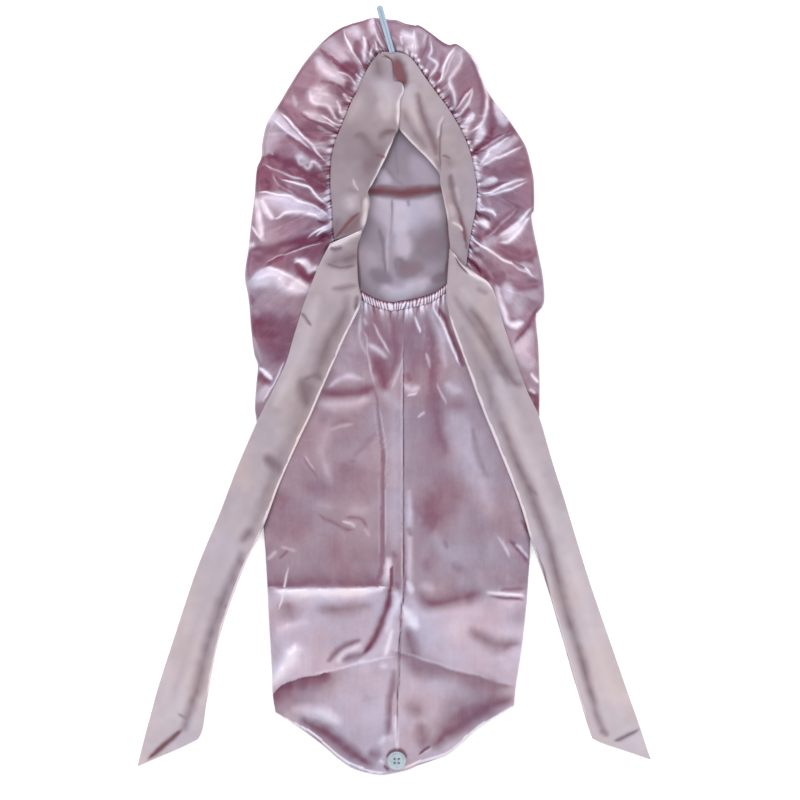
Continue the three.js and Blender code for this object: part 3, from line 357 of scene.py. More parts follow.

# Painted shade and highlight of the crown's folds on its right side, from the parting at the top down to
# the tail
CROWN_RIGHT = chart_marks("soft", [
    (-0.3, 14, (480, 62), (500, 112), (518, 160), (524, 200)),
    (0.8, 5, (404, 34), (411.5, 42), (413, 53)),
    (0.3, 4, (419, 30), (426, 33.5), (423, 45.5)),
    (-1, 2.5, (438.5, 74.5), (436.5, 84), (433.5, 87.5)),
    (-0.4, 3, (443, 53), (440, 68.5)),
    (0.3, 5, (459.5, 51), (455, 64.5)),
    (-0.5, 2.5, (449, 97.5), (449.5, 104.5)),
    (-0.25, 6, (465, 68.5), (461, 91.5)),
    (0.9, 3, (472, 116), (467.5, 123.5), (464.5, 131.5)),
    (-0.45, 2.5, (472.5, 62.5), (480.5, 77.5), (483.5, 99), (481, 114.5)),
    (-0.6, 3.2, (492, 94.5), (492.5, 113.5), (493, 123.5), (492.5, 133.5)),
    (0.6, 4, (495.5, 103), (503, 121), (508.5, 120.5)),
    (0.8, 4, (482, 127.5), (480.5, 137), (476.5, 143.5)),
    (-1, 3, (492.5, 130), (488.5, 139.5), (484, 145), (478, 150), (471.5, 155)),
    (-0.6, 3, (510.5, 124), (515.5, 130)),
    (0.5, 4, (515.5, 139), (502, 147.5), (488.5, 157), (480.5, 165.5)),
    (-0.5, 6, (525.5, 167), (505, 172.5), (488.5, 173)),
    (-0.5, 2.5, (487, 169), (480.5, 175)),
    (0.8, 2.8, (483, 184.5), (488.5, 182.5), (495, 181)),
    (-0.4, 8, (525.5, 187), (528.5, 204), (508, 200)),
    (0.9, 3, (474.5, 223), (480, 221.5), (485, 224), (488, 228)),
    (-0.75, 4, (478.5, 232), (483, 239), (495, 230), (505, 220), (515.5, 210)),
    (0.6, 3, (520, 224), (512, 232), (503, 239)),
    (0.3, 4, (484, 243.5), (495, 240)),
    (-0.6, 7, (502, 250), (522, 259), (532, 253.5)),
    (0.3, 2.5, (522, 263), (532, 267)),
    (-0.8, 2, (470.5, 243), (477, 247)),
    (0.7, 2, (470.5, 250), (476.5, 251.5)),
    (-0.3, 2, (471.5, 253.5), (482, 257.5)),
    (-0.3, 5, (485, 263.5), (495, 270.5)),
    (-0.55, 4, (492, 279), (502, 275.5)),
    (-0.25, 4, (508.5, 270.5), (525.5, 277)),
    (-0.5, 5, (496.5, 282.5), (515.5, 285.5), (538.5, 283.5)),
    (-1, 2.5, (469.5, 259.5), (475, 267), (482, 273.5), (488.5, 280.5)),
    (0.8, 2.8, (496.5, 289), (498, 299), (503, 311.5), (507.5, 322.5), (516.5, 328)),
    (0.6, 6, (506, 287), (508.5, 300.5)),
    (1, 3, (521.5, 323), (511.5, 326.5)),
    (0.3, 6, (518.5, 297), (518, 311.5)),
    (0.45, 8, (528, 335), (520, 353), (529.5, 365.5)),
    (-0.9, 3, (528, 393), (536.5, 399.5), (534.5, 411)),
]) + chart_marks("line", [
    (-1.15, 1.5, (390, 19.5), (398, 20.5), (411, 25.5), (419, 25.5), (430, 32.5), (446, 44.5),
     (457, 44.5), (467, 51), (474, 60)),
    (0.8, 1.5, (414, 29), (414.5, 38), (416, 53)),
    (0.9, 1.3, (400, 35.5), (402.5, 47)),
    (-0.45, 1.5, (428.5, 33.5), (426, 47), (421.5, 59.5), (420, 64)),
    (0.85, 1.6, (430.5, 40), (431.5, 51.5), (429, 58), (435, 62.5), (437.5, 65.5), (433.5, 73),
     (428.5, 79.5), (430.5, 84)),
    (1, 1.4, (456.5, 45.5), (449, 55), (443.5, 67), (441.5, 77.5), (434.5, 88.5)),
    (0.5, 1, (455, 51.5), (449, 64), (446, 74.5), (436, 87.5)),
    (0.75, 2, (461, 51.5), (461, 62.5), (453.5, 74.5), (449, 81.5), (453.5, 95.5), (455, 105.5),
     (452, 111.5)),
    (1, 1.2, (472.5, 88.5), (465, 97.5), (458, 107.5), (453.5, 114.5)),
    (0.9, 1.2, (472.5, 89), (469, 101.5), (462.5, 111.5), (457.5, 119)),
    (-0.7, 1.2, (472, 87), (462.5, 97), (456, 110)),
    (-0.7, 2, (469, 109), (461, 119)),
    (0.9, 1.9, (463.5, 49.5), (472.5, 57), (480.5, 72.5), (485.5, 90), (487, 105.5), (485, 116.5),
     (482, 123.5), (473.5, 131), (465, 137.5)),
    (-0.9, 1.2, (513.5, 125.5), (506, 133), (498.5, 135.5), (492.5, 139.5), (480.5, 148), (470.5, 155.5)),
    (0.35, 0.9, (508.5, 131.5), (500.5, 137), (492.5, 143), (483, 149), (475, 153)),
    (-0.5, 1.5, (515.5, 132), (507, 138), (498.5, 143)),
    (0.9, 1.5, (512, 136), (505, 139.5), (498, 145), (491, 150), (484.5, 159), (480, 165), (476, 169.5)),
    (0.95, 1.4, (524, 145.5), (515.5, 150), (506, 155), (495, 159.5), (485, 165), (478.5, 169.5)),
    (-0.85, 1.8, (478.5, 189.5), (488.5, 189), (498.5, 185.5), (508.5, 182.5)),
    (1.1, 1.3, (477, 193), (487, 193.5), (496.5, 190.5), (506, 185.5), (515.5, 181.5), (525.5, 179),
     (528.5, 177.5)),
    (1, 1.3, (484, 197), (495, 194.5), (505, 191.5), (514, 187.5), (522, 184.5), (528, 181)),
    (1, 2, (478.5, 210), (485, 210.5), (491, 212), (494, 214.5), (495, 218)),
    (-0.3, 1, (478.5, 212), (488.5, 214)),
    (-1, 1.5, (476.5, 212.5), (484, 216), (490, 221)),
    (0.15, 1.5, (480.5, 240), (492.5, 233.5), (502, 223.5), (512, 214.5), (518.5, 206.5)),
    (-0.45, 1.5, (496.5, 235), (508.5, 225.5), (518.5, 216.5)),
    (1, 2, (533.5, 206), (525.5, 214.5), (515.5, 225.5), (505, 233.5), (496.5, 240)),
    (1, 2.4, (531.5, 215.5), (524.5, 223), (520.5, 229), (514, 237.5), (506, 243), (496.5, 243.5)),
    (1.1, 1.5, (471, 236), (475, 241.5), (480, 246), (487, 249.5), (495, 255.5), (502, 260.5),
     (508.5, 262.5), (515.5, 263.5), (522, 266.5), (527.5, 270.5), (530.5, 275), (538, 280.5)),
    (0.6, 1, (510.5, 263.5), (518.5, 269), (527.5, 273), (532.5, 278.5)),
    (-0.8, 1, (512, 261.5), (525.5, 268.5)),
    (-1, 1.8, (540.5, 306), (533, 315.5), (528, 325), (523, 330.5), (517.5, 338), (514, 344)),
    (1, 2, (530.5, 374), (539, 383)),
    (1, 1.5, (529, 389.5), (535.5, 393.5)),
])

# Bright puffs of the gathers where the photograph shows them large
PUFFS = [(406, 54), (412, 55.5), (415.5, 56.5), (418.5, 61), (421.5, 68), (426, 71.5), (432, 83),
         (438.5, 91.5), (468.5, 143), (471, 150), (475, 157.5), (474.5, 163.5), (478, 179),
         (478.5, 185.5), (478.5, 200.5)]

# The long tail under the nape: painted shade and highlight for its seam, pleat and creases, and its painted
# soft shades
TAIL = chart_marks("soft", [
    (-0.5, 10, (376, 320), (380, 350), (386, 378)),
    (-0.42, 8, (397, 316), (397, 345), (396, 368)),
    (-0.45, 10, (413, 320), (413, 350), (413, 374)),
    (-0.6, 8, (430, 316), (431, 350), (432, 380)),
    (-0.5, 11, (434, 388), (437, 420), (442, 452)),
    (-0.4, 20, (442, 484), (437, 504), (436, 520)),
    (-0.3, 18, (300, 484), (322, 486), (345, 470)),
    (-0.38, 15, (276, 514), (290, 522), (282, 534)),
    (0.22, 9, (394, 410), (394, 480), (394, 550)),
    (0.3, 14, (455, 420), (475, 470), (490, 510)),
    (0.35, 1.5, (361, 315.5), (359.5, 338.5), (365.5, 354)),
    (0.4, 2, (365, 320), (366.5, 323.5)),
    (-0.4, 3.5, (367, 330), (369, 335)),
    (0.6, 3, (369, 344.5), (376.5, 349.5), (385.5, 357.5)),
    (-0.8, 6.5, (374, 361.5), (382, 373), (385.5, 388.5)),
    (-0.45, 4, (378, 323.5), (385.5, 338.5), (389.5, 350)),
    (-0.55, 3, (393.5, 319.5), (394, 338.5), (395.5, 357.5), (391.5, 377)),
    (0.35, 4.5, (428.5, 310), (435.5, 323.5), (440.5, 334.5), (443, 350), (445.5, 365.5)),
    (-1, 2.4, (436, 305), (443, 315.5), (450.5, 334.5), (458.5, 352.5), (463.5, 365.5)),
    (-0.4, 4, (416, 350), (414.5, 365.5)),
    (-0.6, 2.5, (407.5, 375), (409.5, 379)),
    (0.7, 3.5, (404.5, 386), (411.5, 390), (417, 387)),
    (-0.5, 5.5, (431.5, 338.5), (432.5, 361.5), (431.5, 384.5), (433, 395.5), (435, 414.5),
     (438.5, 429.5), (443.5, 442.5), (446, 451)),
    (0.45, 4.5, (447, 384.5), (453.5, 390), (459.5, 391.5)),
    (-0.32, 6, (450, 404.5), (464, 406)),
    (0.15, 8, (449, 430), (458, 429), (469, 426)),
    (-0.25, 3, (472.5, 429.5), (476.5, 449), (480.5, 462.5), (486.5, 475.5)),
    (-0.2, 3, (347, 355.5), (365, 357.5)),
    (-0.75, 5.5, (325, 393), (338.5, 394), (353.5, 393), (372, 388)),
    (0.45, 6, (322, 404), (338, 405), (355, 403), (366, 400)),
    (0.25, 6, (384, 394), (400, 407)),
    (-0.25, 3, (355, 455), (366.5, 443.5), (376.5, 433.5)),
    (-0.35, 7, (344, 468), (352, 474), (362, 474)),
    (-0.35, 1.2, (350, 461), (354, 461)),
    (-0.3, 5, (324, 419), (336, 424), (347, 421)),
    (0.3, 2, (329, 430), (340, 426), (352, 424.5)),
    (-0.35, 6, (305, 486), (327, 489.5)),
    (0.2, 6, (330, 420), (322, 450), (330, 480)),
    (-0.4, 9, (278, 496), (288, 502)),
    (0.12, 5, (318, 505), (332, 508)),
    (0.2, 6, (350, 512), (367, 510)),
    (0.2, 5, (394, 500), (394, 530), (396, 545)),
    (-0.45, 2.2, (393, 553), (395, 557)),
    (-0.45, 2.2, (397, 583), (398.5, 588)),
    (1.15, 3.8, (388.4, 560), (388.6, 572), (384.6, 584), (380, 590)),
    (0.85, 4, (396, 594), (398, 602), (391, 618), (386, 632)),
    (0.5, 3.2, (409, 492), (409.5, 540), (409.5, 590)),
    (-0.3, 3, (409, 529), (411, 534)),
    (0.9, 3, (407.5, 583), (411.5, 592.5)),
    (-0.5, 12, (427, 501), (432, 512), (434, 520)),
    (-0.5, 8, (427, 520), (433, 525)),
    (-0.35, 5, (426, 562), (427.5, 570)),
    (0.12, 7, (436, 536), (446, 552), (466, 562)),
    (-0.3, 2, (444.5, 540), (447.5, 547)),
    (-0.3, 4, (453.5, 566), (460.5, 570.5)),
    (-0.6, 2, (523, 521), (529.5, 532)),
    (0.4, 5, (424, 587), (430, 589)),
    (-0.6, 9, (421, 596), (429, 602), (440, 603), (455, 599), (478, 594)),
    (0.5, 7, (427, 617), (452, 614), (480, 615)),
    (1.2, 5, (404.5, 609), (411.5, 622), (415, 627.5)),
    (0.05, 9, (517, 612), (520, 618)),
    (-0.35, 8, (322, 608), (345, 609), (366, 606)),
    (-0.22, 10, (287, 602), (292, 618)),
    (0.65, 4.5, (279, 632.5), (292, 628), (306, 623)),
    (0.25, 16, (300, 640), (345, 635), (372, 615)),
    (1.1, 7, (275, 682), (282, 672), (290, 660), (297, 650)),
    (0.9, 4, (359, 646), (349, 652), (338, 661)),
    (-0.5, 3, (359, 641), (345, 646.5), (334, 654.5), (329, 661)),
    (-0.5, 4, (344, 660), (352, 657), (360, 655)),
    (0.8, 2, (360.5, 662), (363.5, 661.5)),
    (0.8, 3, (382, 666.5), (385, 666.5)),
    (-0.42, 4, (393.5, 672), (391.6, 690), (389.6, 710), (388, 736)),
    (0.8, 3, (384.5, 738.5), (380.5, 744)),
    (0.6, 3, (389, 737.5), (391, 740)),
    (0.4, 14, (300, 702), (325, 708), (350, 722)),
    (0.95, 6, (296, 709), (312, 711.5), (326, 715), (338, 722)),
    (-0.45, 7, (406, 632), (411, 645), (415, 658)),
    (0.35, 12, (450, 645), (480, 660), (508, 674)),
    (-0.35, 7, (472, 632), (486, 640), (498, 646), (517, 644)),
    (-0.5, 9, (412, 663), (424, 668), (438, 672)),
    (-0.4, 8, (470, 682), (497, 688)),
    (0.35, 8, (410, 693), (413, 697)),
    (-0.15, 8, (408, 707), (421, 711)),
    (0.4, 5, (413, 722), (415, 730)),
    (-0.4, 7, (420, 728), (424, 738), (422, 746)),
    (-0.8, 6.5, (304, 722), (318.5, 730), (330, 737), (339, 744), (346.5, 751), (356, 758), (370, 765)),
    (-0.45, 16, (492, 698), (466, 710), (446, 726)),
    (-0.65, 8, (510, 700), (487.5, 709), (473.5, 717), (460, 726), (448, 734), (436, 745)),
    (0.9, 1.6, (380.5, 762), (382.5, 763.5)),
    (-1, 1.8, (387.5, 757), (391.5, 752.3), (397, 750.6), (402.5, 752.5), (406.4, 757)),
    (-0.9, 1.2, (384.5, 767.5), (388, 771)),
    (0.75, 8, (280, 595), (310, 596), (345, 595), (376, 593)),
    (-0.42, 5, (371, 755), (378, 756)),
    (1, 2, (395.6, 716), (396.2, 734), (397, 749)),
]) + chart_marks("edge", [
    (-0.6, 13, (268, 587.4), (300, 588), (340, 587.4), (378, 587)),
    (-0.8, 18, (322, 674.5), (316.5, 676), (304, 677.5), (292.5, 681), (280, 687.5), (273.8, 694)),
    (-0.35, 9, (506, 685), (493, 682), (473.5, 675.5), (450.5, 670), (432, 663.5), (418, 659.5),
     (401, 653.5)),
]) + chart_marks("strip", [
    (-0.3, 1.4, (373.5, 388), (376.5, 399), (377.8, 410.5), (379.5, 422), (381.3, 437.5), (383, 455)),
    (-0.42, 2.0, (382.4, 446), (383.2, 500), (382.4, 547), (381.4, 571), (376, 584)),
    (-0.8, 1.2, (392, 566), (391.4, 584), (389, 594)),
    (0.3, 0.6, (379.5, 408), (382, 420), (384, 433.5), (386, 449), (386.4, 479.5), (386, 520),
     (385.4, 548)),
    (0.1, 0.6, (372.5, 400), (378, 438), (379.6, 470), (379.4, 520), (378.6, 560)),
    (1.1, 0.9, (270, 712.6), (275, 715), (290.6, 722.6), (309, 731.8), (323.3, 743.2), (337.6, 756.6),
     (354.9, 767), (376.3, 773.4), (388, 773.6)),
    (-0.2, 0.5, (284, 722.6), (301, 731.6), (316, 741), (330, 753)),
    (1.15, 1.1, (519, 704), (514, 707), (496, 718), (477, 729.6), (461, 743.6), (446.6, 754.6),
     (434, 759), (418, 763.6), (406, 768.4), (398, 771.6)),
]) + chart_marks("line", [
    (-0.95, 3.4, (391, 586), (388, 603), (382.4, 620), (377, 633), (371.4, 643), (364.6, 652),
     (358, 656.6)),
    (0.9, 1.3, (414.5, 315.5), (421, 334)),
    (1.1, 1.6, (431.5, 307), (437.5, 315.5), (443, 325), (447, 334), (450.5, 343), (454.5, 354),
     (460.5, 367.5)),
    (0.35, 1, (362, 328), (366.5, 338.5), (367, 350), (370.5, 367.5), (372.5, 380.5), (376.5, 390.5)),
    (0.6, 1.2, (372.5, 321.5), (378, 332.5), (383.5, 343), (388, 351.5), (391, 355.5)),
    (-0.6, 0.9, (407, 318), (404.5, 335), (403.8, 380), (403.2, 440), (403, 520), (404, 590), (401, 610),
     (400, 640), (399, 668), (397.4, 700), (396.8, 745)),
    (0.35, 0.9, (402.3, 335), (402, 380), (401.6, 440), (401.4, 520), (402.2, 590), (399, 610),
     (398.2, 640)),
    (0.35, 1.5, (404, 357.5), (400, 369), (394, 384.5), (390, 390.5)),
    (1, 1, (407.5, 395.5), (417, 393.5)),
    (0.3, 1.5, (425.5, 352.5), (428.5, 361.5), (430.5, 367.5)),
    (0.45, 1, (436.5, 382.5), (442, 394), (447.5, 405)),
    (0.6, 1.2, (417.5, 417.5), (424.5, 412)),
    (0.5, 3, (327.5, 388), (342.5, 378), (351.5, 376.5), (365, 380.5)),
    (-0.45, 0.9, (302.5, 456.5), (308.5, 465), (313, 471), (318.5, 480)),
    (0.4, 0.9, (304.5, 455.5), (310.5, 464), (315, 470)),
    (-0.4, 2, (317.5, 513), (323, 518), (334.5, 522.5), (344, 528.5), (354.5, 530)),
    (0.6, 1.5, (342.5, 521.5), (350, 523.5), (356.5, 527.5)),
    (-0.4, 2, (346, 517), (361.5, 519.5), (368, 528)),
    (0.25, 1.5, (364.5, 528.5), (369, 536)),
    (0.35, 1.5, (280, 547.5), (296.5, 551)),
    (-0.5, 1.2, (279, 559), (288.5, 550.5)),
    (0.4, 2, (267.5, 560), (276.5, 551)),
    (1, 1, (288.7, 565.5), (285, 584), (280.5, 605), (277, 611)),
    (0.7, 1, (496.5, 534.5), (503.5, 545.5), (511.5, 559.5)),
    (-0.75, 1.8, (509, 540), (518, 549), (525, 558), (528.5, 566)),
    (0.8, 1.3, (514.5, 544.5), (520.5, 548), (529.5, 559)),
    (-0.6, 1, (268, 588), (300, 588.4), (340, 587.8), (378, 587.4)),
    (1.2, 3.8, (270, 592), (310, 592), (340, 592), (362, 591.4), (384, 590)),
    (-0.6, 1.5, (498, 590), (527, 590)),
    (1.2, 1.8, (485, 592), (502.5, 594), (527, 597)),
    (-0.6, 1.5, (489.5, 595.5), (507, 598.5), (525, 600)),
    (0.8, 1.2, (395.5, 656.5), (376, 659.5), (362, 662.3), (348.5, 666), (330, 671.5), (309.5, 675)),
    (1, 2.4, (392, 628), (389, 643), (385, 658)),
    (0.45, 0.8, (394.5, 690), (393, 712), (392, 735)),
    (-0.25, 0.8, (400.5, 653.5), (418, 659.5), (432, 663.7), (450.5, 670), (473.5, 675.7), (493, 682.2),
     (506, 685)),
    (0.5, 1, (403, 652.5), (420, 657.8), (434, 662), (452.5, 668.3), (475.5, 674), (495, 680.4)),
    (-0.9, 1.4, (431, 747), (425.5, 750.5), (419, 755.5)),
    (0.5, 1, (432, 749), (421, 756.5)),
])

# Dents and folds of the band's halves and the ties, drawn as painted shade and highlight, and their painted
# shades
BAND_LEFT_MARKS = chart_marks("soft", [
    (-0.42, 7, (377, 60), (380, 78)),
    (-0.22, 3, (374.5, 96), (377.5, 104)),
    (-0.25, 12, (366, 92), (354, 118), (346, 146)),
    (0.2, 6, (381, 104), (385, 118)),
    (-0.5, 4, (392, 132.5), (385, 134), (380.5, 138)),
    (-0.45, 3.6, (356, 137), (361.5, 136.5), (367, 141.5)),
    (-0.36, 13, (362, 142), (372, 152), (378, 158), (366, 172)),
    (-0.42, 8, (379, 153), (374, 160), (367, 168)),
    (0.3, 10, (380, 84), (388, 98), (390, 114)),
    (0.15, 9, (362, 96), (350, 120)),
    (-0.25, 2.5, (349.5, 190), (356.5, 191.5)),
    (0.35, 7, (350, 200), (352, 206)),
    (-0.45, 6, (338, 221), (334, 236)),
    (-0.72, 6.4, (359.6, 217.5), (354.5, 225), (345.5, 232)),
]) + chart_marks("line", [
    (0.75, 1.8, (402, 84), (403.4, 92), (399.4, 102), (398.8, 114), (397.6, 128)),
    (0.8, 1.2, (394, 137), (386.5, 155), (378.4, 171.5), (371.6, 184), (367.2, 192)),
    (-0.48, 1.5, (396, 131.6), (390.3, 131.8), (382, 134.8)),
    (-0.36, 2.4, (354.5, 138), (358.5, 135.3), (364, 139), (368, 144), (374, 150), (382, 156)),
    (-0.7, 1.2, (385.2, 157.6), (380, 155.4), (376, 154.4)),
    (0.35, 1.2, (352.5, 179.5), (354.5, 185), (358.5, 191)),
    (-1.4, 1, (359.4, 212), (353.3, 217.7), (348.2, 223.3), (342, 230.4), (334.2, 238.4)),
    (-0.35, 1, (361.4, 196), (361, 212), (361, 226)),
    (0.5, 3.2, (366.4, 196), (365.4, 210), (364, 222), (362.4, 229)),
    (0.5, 1.2, (385, 57.4), (391.4, 60.6), (394, 67), (395, 78.6)),
])
BAND_RIGHT_MARKS = chart_marks("soft", [
    (-1.7, 6, (397, 62), (399, 72), (402, 84)),
    (0.1, 6, (418, 68), (428, 84)),
    (0.3, 9, (408, 90), (412, 108), (418, 128)),
    (-0.62, 4.2, (417.5, 96), (421.5, 111), (426.5, 124.5), (433, 140), (436, 154)),
    (-0.35, 5, (404, 112), (412, 130), (425.5, 147)),
    (-0.3, 2, (436, 160), (438.5, 168)),
    (-0.3, 5, (448, 161), (450, 164)),
    (-0.5, 3, (450.5, 176), (451, 188)),
    (0.3, 3, (456, 189), (457.5, 200)),
    (-0.35, 3, (452.5, 194), (455, 204)),
    (0.2, 3, (450, 205), (452, 216)),
    (-0.45, 2.6, (450.6, 178), (452.6, 192), (455.5, 204)),
]) + chart_marks("line", [
    (-1, 1.1, (383, 55), (391, 60), (393.6, 67), (395.4, 79)),
    (0.8, 1.6, (399, 129), (410, 141), (420, 151), (430, 161), (438.6, 172)),
    (-0.45, 1, (445.5, 119), (441.5, 125), (440, 137), (439.6, 147), (440, 174)),
    (0.4, 1.4, (444, 116), (438.6, 127), (437.4, 140)),
    (-0.5, 1, (442, 155.7), (446, 156.2), (450, 158.3)),
    (-0.5, 2.2, (453.3, 199), (458, 210.5), (461.7, 223), (464.8, 233.5), (466.5, 243.5), (467.2, 254)),
    (-0.8, 1, (459.6, 217), (462.4, 226), (464.6, 235), (465.8, 244)),
    (0.6, 1.2, (451.8, 223), (459.4, 226), (463, 231)),
    (0.45, 1, (440.4, 184), (443.6, 198), (446.4, 211), (448.6, 224)),
])
TIE_LEFT_MARKS = chart_marks("soft", [
    (-0.18, 9, (344, 318), (330, 350), (316, 384), (300, 420), (284, 456), (268, 496), (252, 530)),
    (-0.5, 7, (303, 384), (306, 396), (308, 404)),
    (-0.5, 5, (267, 458), (273, 464), (279, 470)),
    (0.35, 6, (318, 300), (304, 344), (290, 376), (276, 404)),
    (0.2, 7, (312, 305), (302, 340), (288, 372)),
    (-0.5, 7, (331, 264), (340, 261.5), (350, 257.5), (357, 254.5)),
    (-0.35, 3, (334, 290), (343, 289.5), (355, 286)),
    (-0.4, 6, (348, 301), (343, 317.5), (334, 332), (326.5, 347), (319.5, 367.5), (316.5, 378)),
    (-0.35, 6, (302, 383), (310, 388)),
    (-0.7, 2.6, (358, 298), (356, 310)),
    (-0.2, 3, (281, 454), (276, 470), (262, 500)),
    (-0.4, 5, (266, 460), (279, 466)),
    (-0.4, 5, (250, 532), (243, 540)),
    (-0.42, 6, (241, 556), (231, 581), (225.5, 591), (220, 606.5), (212.5, 627.5), (205.5, 650),
     (201.5, 669.5), (196, 690.5), (189, 711.5), (183.5, 728.5)),
    (-0.35, 3, (240, 562), (242, 565)),
    (-0.35, 1.6, (225, 607), (227, 609)),
    (0.2, 6, (240, 500), (215, 570), (190, 640), (172, 700)),
]) + chart_marks("strip", [
    (1.1, 1.1, (360.5, 300), (357.6, 311), (346, 334.6), (333.6, 362), (322, 388), (309.6, 416.5),
     (299.8, 437), (279.8, 482), (268, 513), (262, 527.6)),
    (0.75, 0.8, (262, 527.6), (242, 569), (228, 606), (218.4, 636), (211, 670), (205.8, 699)),
]) + chart_marks("line", [
    (1.1, 3.0, (328, 249.4), (334, 246.6), (342, 241), (351.4, 235.4), (359, 233.4), (363, 232.4)),
    (-0.5, 2.6, (330.7, 248.6), (336, 249.6), (343, 247)),
    (-0.45, 1.6, (327, 263), (332, 266.4), (340, 268), (348, 267.4), (356, 264.5)),
    (-0.4, 1.6, (301, 313), (306, 317.5), (312.5, 326.5)),
    (-0.35, 2.4, (304, 380), (316.5, 375.5), (322.5, 381)),
    (-0.8, 2.4, (182, 729.5), (169.5, 741), (156.5, 752), (145.5, 762)),
    (-0.25, 1, (177.5, 715.5), (186, 719)),
])
TIE_RIGHT_MARKS = chart_marks("soft", [
    (-0.12, 7, (462, 330), (478, 366), (492, 400), (508, 440), (524, 476), (538, 516)),
    (0.38, 8, (500, 392), (520, 440), (540, 486), (556, 530)),
    (0.45, 8, (570, 560), (586, 610), (604, 670), (622, 716)),
    (-0.3, 4, (455, 299), (465, 314), (476.5, 330), (486, 345), (495, 361), (503, 376), (507, 384)),
    (-0.5, 5.4, (471.5, 311.5), (482.5, 326.5), (495, 349), (503, 368), (513, 382), (519, 384.5)),
    (-0.25, 3, (482.5, 371.5), (489, 390.5), (491.5, 408.5)),
    (0.3, 5, (497.5, 379.5), (511.5, 411)),
    (-0.45, 5, (502.5, 425.5), (513, 453.5), (523, 476.5), (530.5, 492), (538.5, 515), (546, 534),
     (553.5, 559.5), (560, 585), (568.5, 618), (580.6, 654.5), (590, 688), (597.6, 715), (604, 732)),
    (-0.35, 3, (603, 732), (607, 736)),
    (-0.3, 3, (478, 290), (486, 294)),
    (0.2, 4, (462, 290), (470, 300)),
]) + chart_marks("strip", [
    (0.95, 1.2, (446, 310), (452.4, 326), (464.6, 358), (477.4, 393), (487.4, 419), (504, 459.4),
     (521, 503.4), (533, 543)),
    (0.55, 0.8, (533, 543), (547.6, 584), (562, 632), (576.6, 683), (588, 722)),
]) + chart_marks("line", [
    (0.9, 1.8, (452.6, 252), (457.5, 261), (464.5, 270.3), (474.5, 276.6), (484.5, 282), (490.8, 287.4),
     (494.4, 293.5), (495.6, 302)),
    (-0.75, 1.2, (454.5, 257), (460, 266.5), (467.5, 275.5)),
    (-0.5, 1, (535.5, 543), (542, 566), (547, 581), (551, 600), (562, 640), (573, 676), (580.6, 700)),
    (-0.3, 1.4, (532, 491.5), (536.5, 494)),
    (-0.5, 2, (614.5, 743), (628, 737), (641, 730)),
])

# Inside of the back layer: the ledge that a fold makes across it, then its soft creases in painted shade
# and light, with the painted shadow under the ledge and beside the ties
INNER_STEP = [(300, 187), (345, 188), (369, 191), (392, 193), (405, 193.5), (421, 192), (441, 189),
              (470, 187), (500, 186)]
INSIDE = chart_marks("soft", [
    (-0.2, 16, (398, 136), (398, 176)),
    (-0.6, 2.6, (396, 134), (386, 155), (377, 173), (370, 188)),
    (0.35, 5, (380, 173), (388, 182)),
    (0.1, 8, (415, 160), (425, 172)),
    (0.7, 9, (378, 203), (386, 207)),
    (0.45, 13, (376, 208), (400, 212), (430, 206)),
    (0.6, 9, (400, 206), (401, 232)),
    (0.5, 8, (425, 204), (436, 212)),
    (0.5, 7, (402, 236), (404, 255)),
    (-0.4, 11, (444, 232), (432, 244), (420, 256)),
    (-0.15, 8, (368, 222), (376, 245)),
    (0.12, 5, (371, 254), (373, 264)),
    (-0.4, 2, (379, 230), (384, 246), (385.5, 271)),
    (-0.4, 6, (374, 273), (388, 279)),
    (-0.5, 7, (400, 262), (405, 269), (418, 267)),
    (0.6, 7, (385, 289), (396.5, 295), (413, 288.5), (426, 283.5)),
    (-0.35, 4, (434, 280), (445, 275.5)),
    (-0.9, 1.8, (357, 240), (356.6, 263), (359, 287)),
    (-0.8, 1.8, (447.6, 216), (450, 246), (448, 266), (447, 282)),
    (-1.05, 4.4, (367, 190), (380, 190.5), (392, 192), (405, 193), (421, 191), (442, 188)),
]) + chart_marks("line", [
    (-0.4, 1.4, (392.7, 197), (391.5, 213), (390, 230), (388.6, 240)),
    (0.45, 1.6, (391, 200), (389.6, 222), (387.6, 238), (387, 252), (388, 275)),
    (-0.3, 1.2, (395.4, 137), (396.4, 160), (398.5, 178)),
    (-0.35, 1.4, (384, 166), (397.4, 180), (406.5, 188.5)),
    (-0.25, 1.2, (399, 259), (398, 271)),
    (-0.25, 1.2, (407, 197), (409, 206)),
])


def chart(points):
    """Chart places as millimetres in the object's frame."""
    p = np.asarray(points, float)
    return np.stack([(p[..., 0] - CHART_X) * CHART_MM, (CHART_Y - p[..., 1]) * CHART_MM], -1)


def stretched(p):
    """The points with one more at each end, straight on, for a curve through all of them."""
    return np.vstack([2 * p[0] - p[1], p, 2 * p[-1] - p[-2]])


def curve(a, b, c, d, t):
    """Catmull-Rom curve from b to c, between the points a and d."""
    return 0.5 * (2 * b + (c - a) * t + (2 * a - 5 * b + 4 * c - d) * t ** 2
                  + (3 * b - a - 3 * c + d) * t ** 3)


def spline(points, count):
    """Smooth curve through points, resampled at equal steps."""
    p = np.asarray(points, float)
    ends = stretched(p)
    t = np.linspace(0, 1, 24, endpoint=False)[:, None]
    runs = [curve(a, b, c, d, t) for a, b, c, d in zip(ends, ends[1:], ends[2:], ends[3:])]
    return even(np.vstack(runs + [p[-1:]]), count)


def run_of(line):
    """Length along a line up to each of its points."""
    return np.r_[0, np.cumsum(np.linalg.norm(np.diff(line, axis=0), axis=1))]


def closed(line):
    """The line with its first point again at its end."""
    return np.vstack([line, line[:1]])


def even(line, count):
    """The line resampled to count points at equal steps."""
    steps = run_of(line)
    at = np.linspace(0, steps[-1], count)
    return np.stack([np.interp(at, steps, line[:, k]) for k in range(line.shape[1])], -1)


def smooth(x, low, high):
    """0 below low, 1 above high, and an even S between."""
    t = np.clip((x - low) / (high - low), 0, 1)
    return t * t * (3 - 2 * t)


def rise(u):
    """0 to 1, steep at first and level at the end."""
    return 1 - (1 - np.clip(u, 0, 1)) ** 2


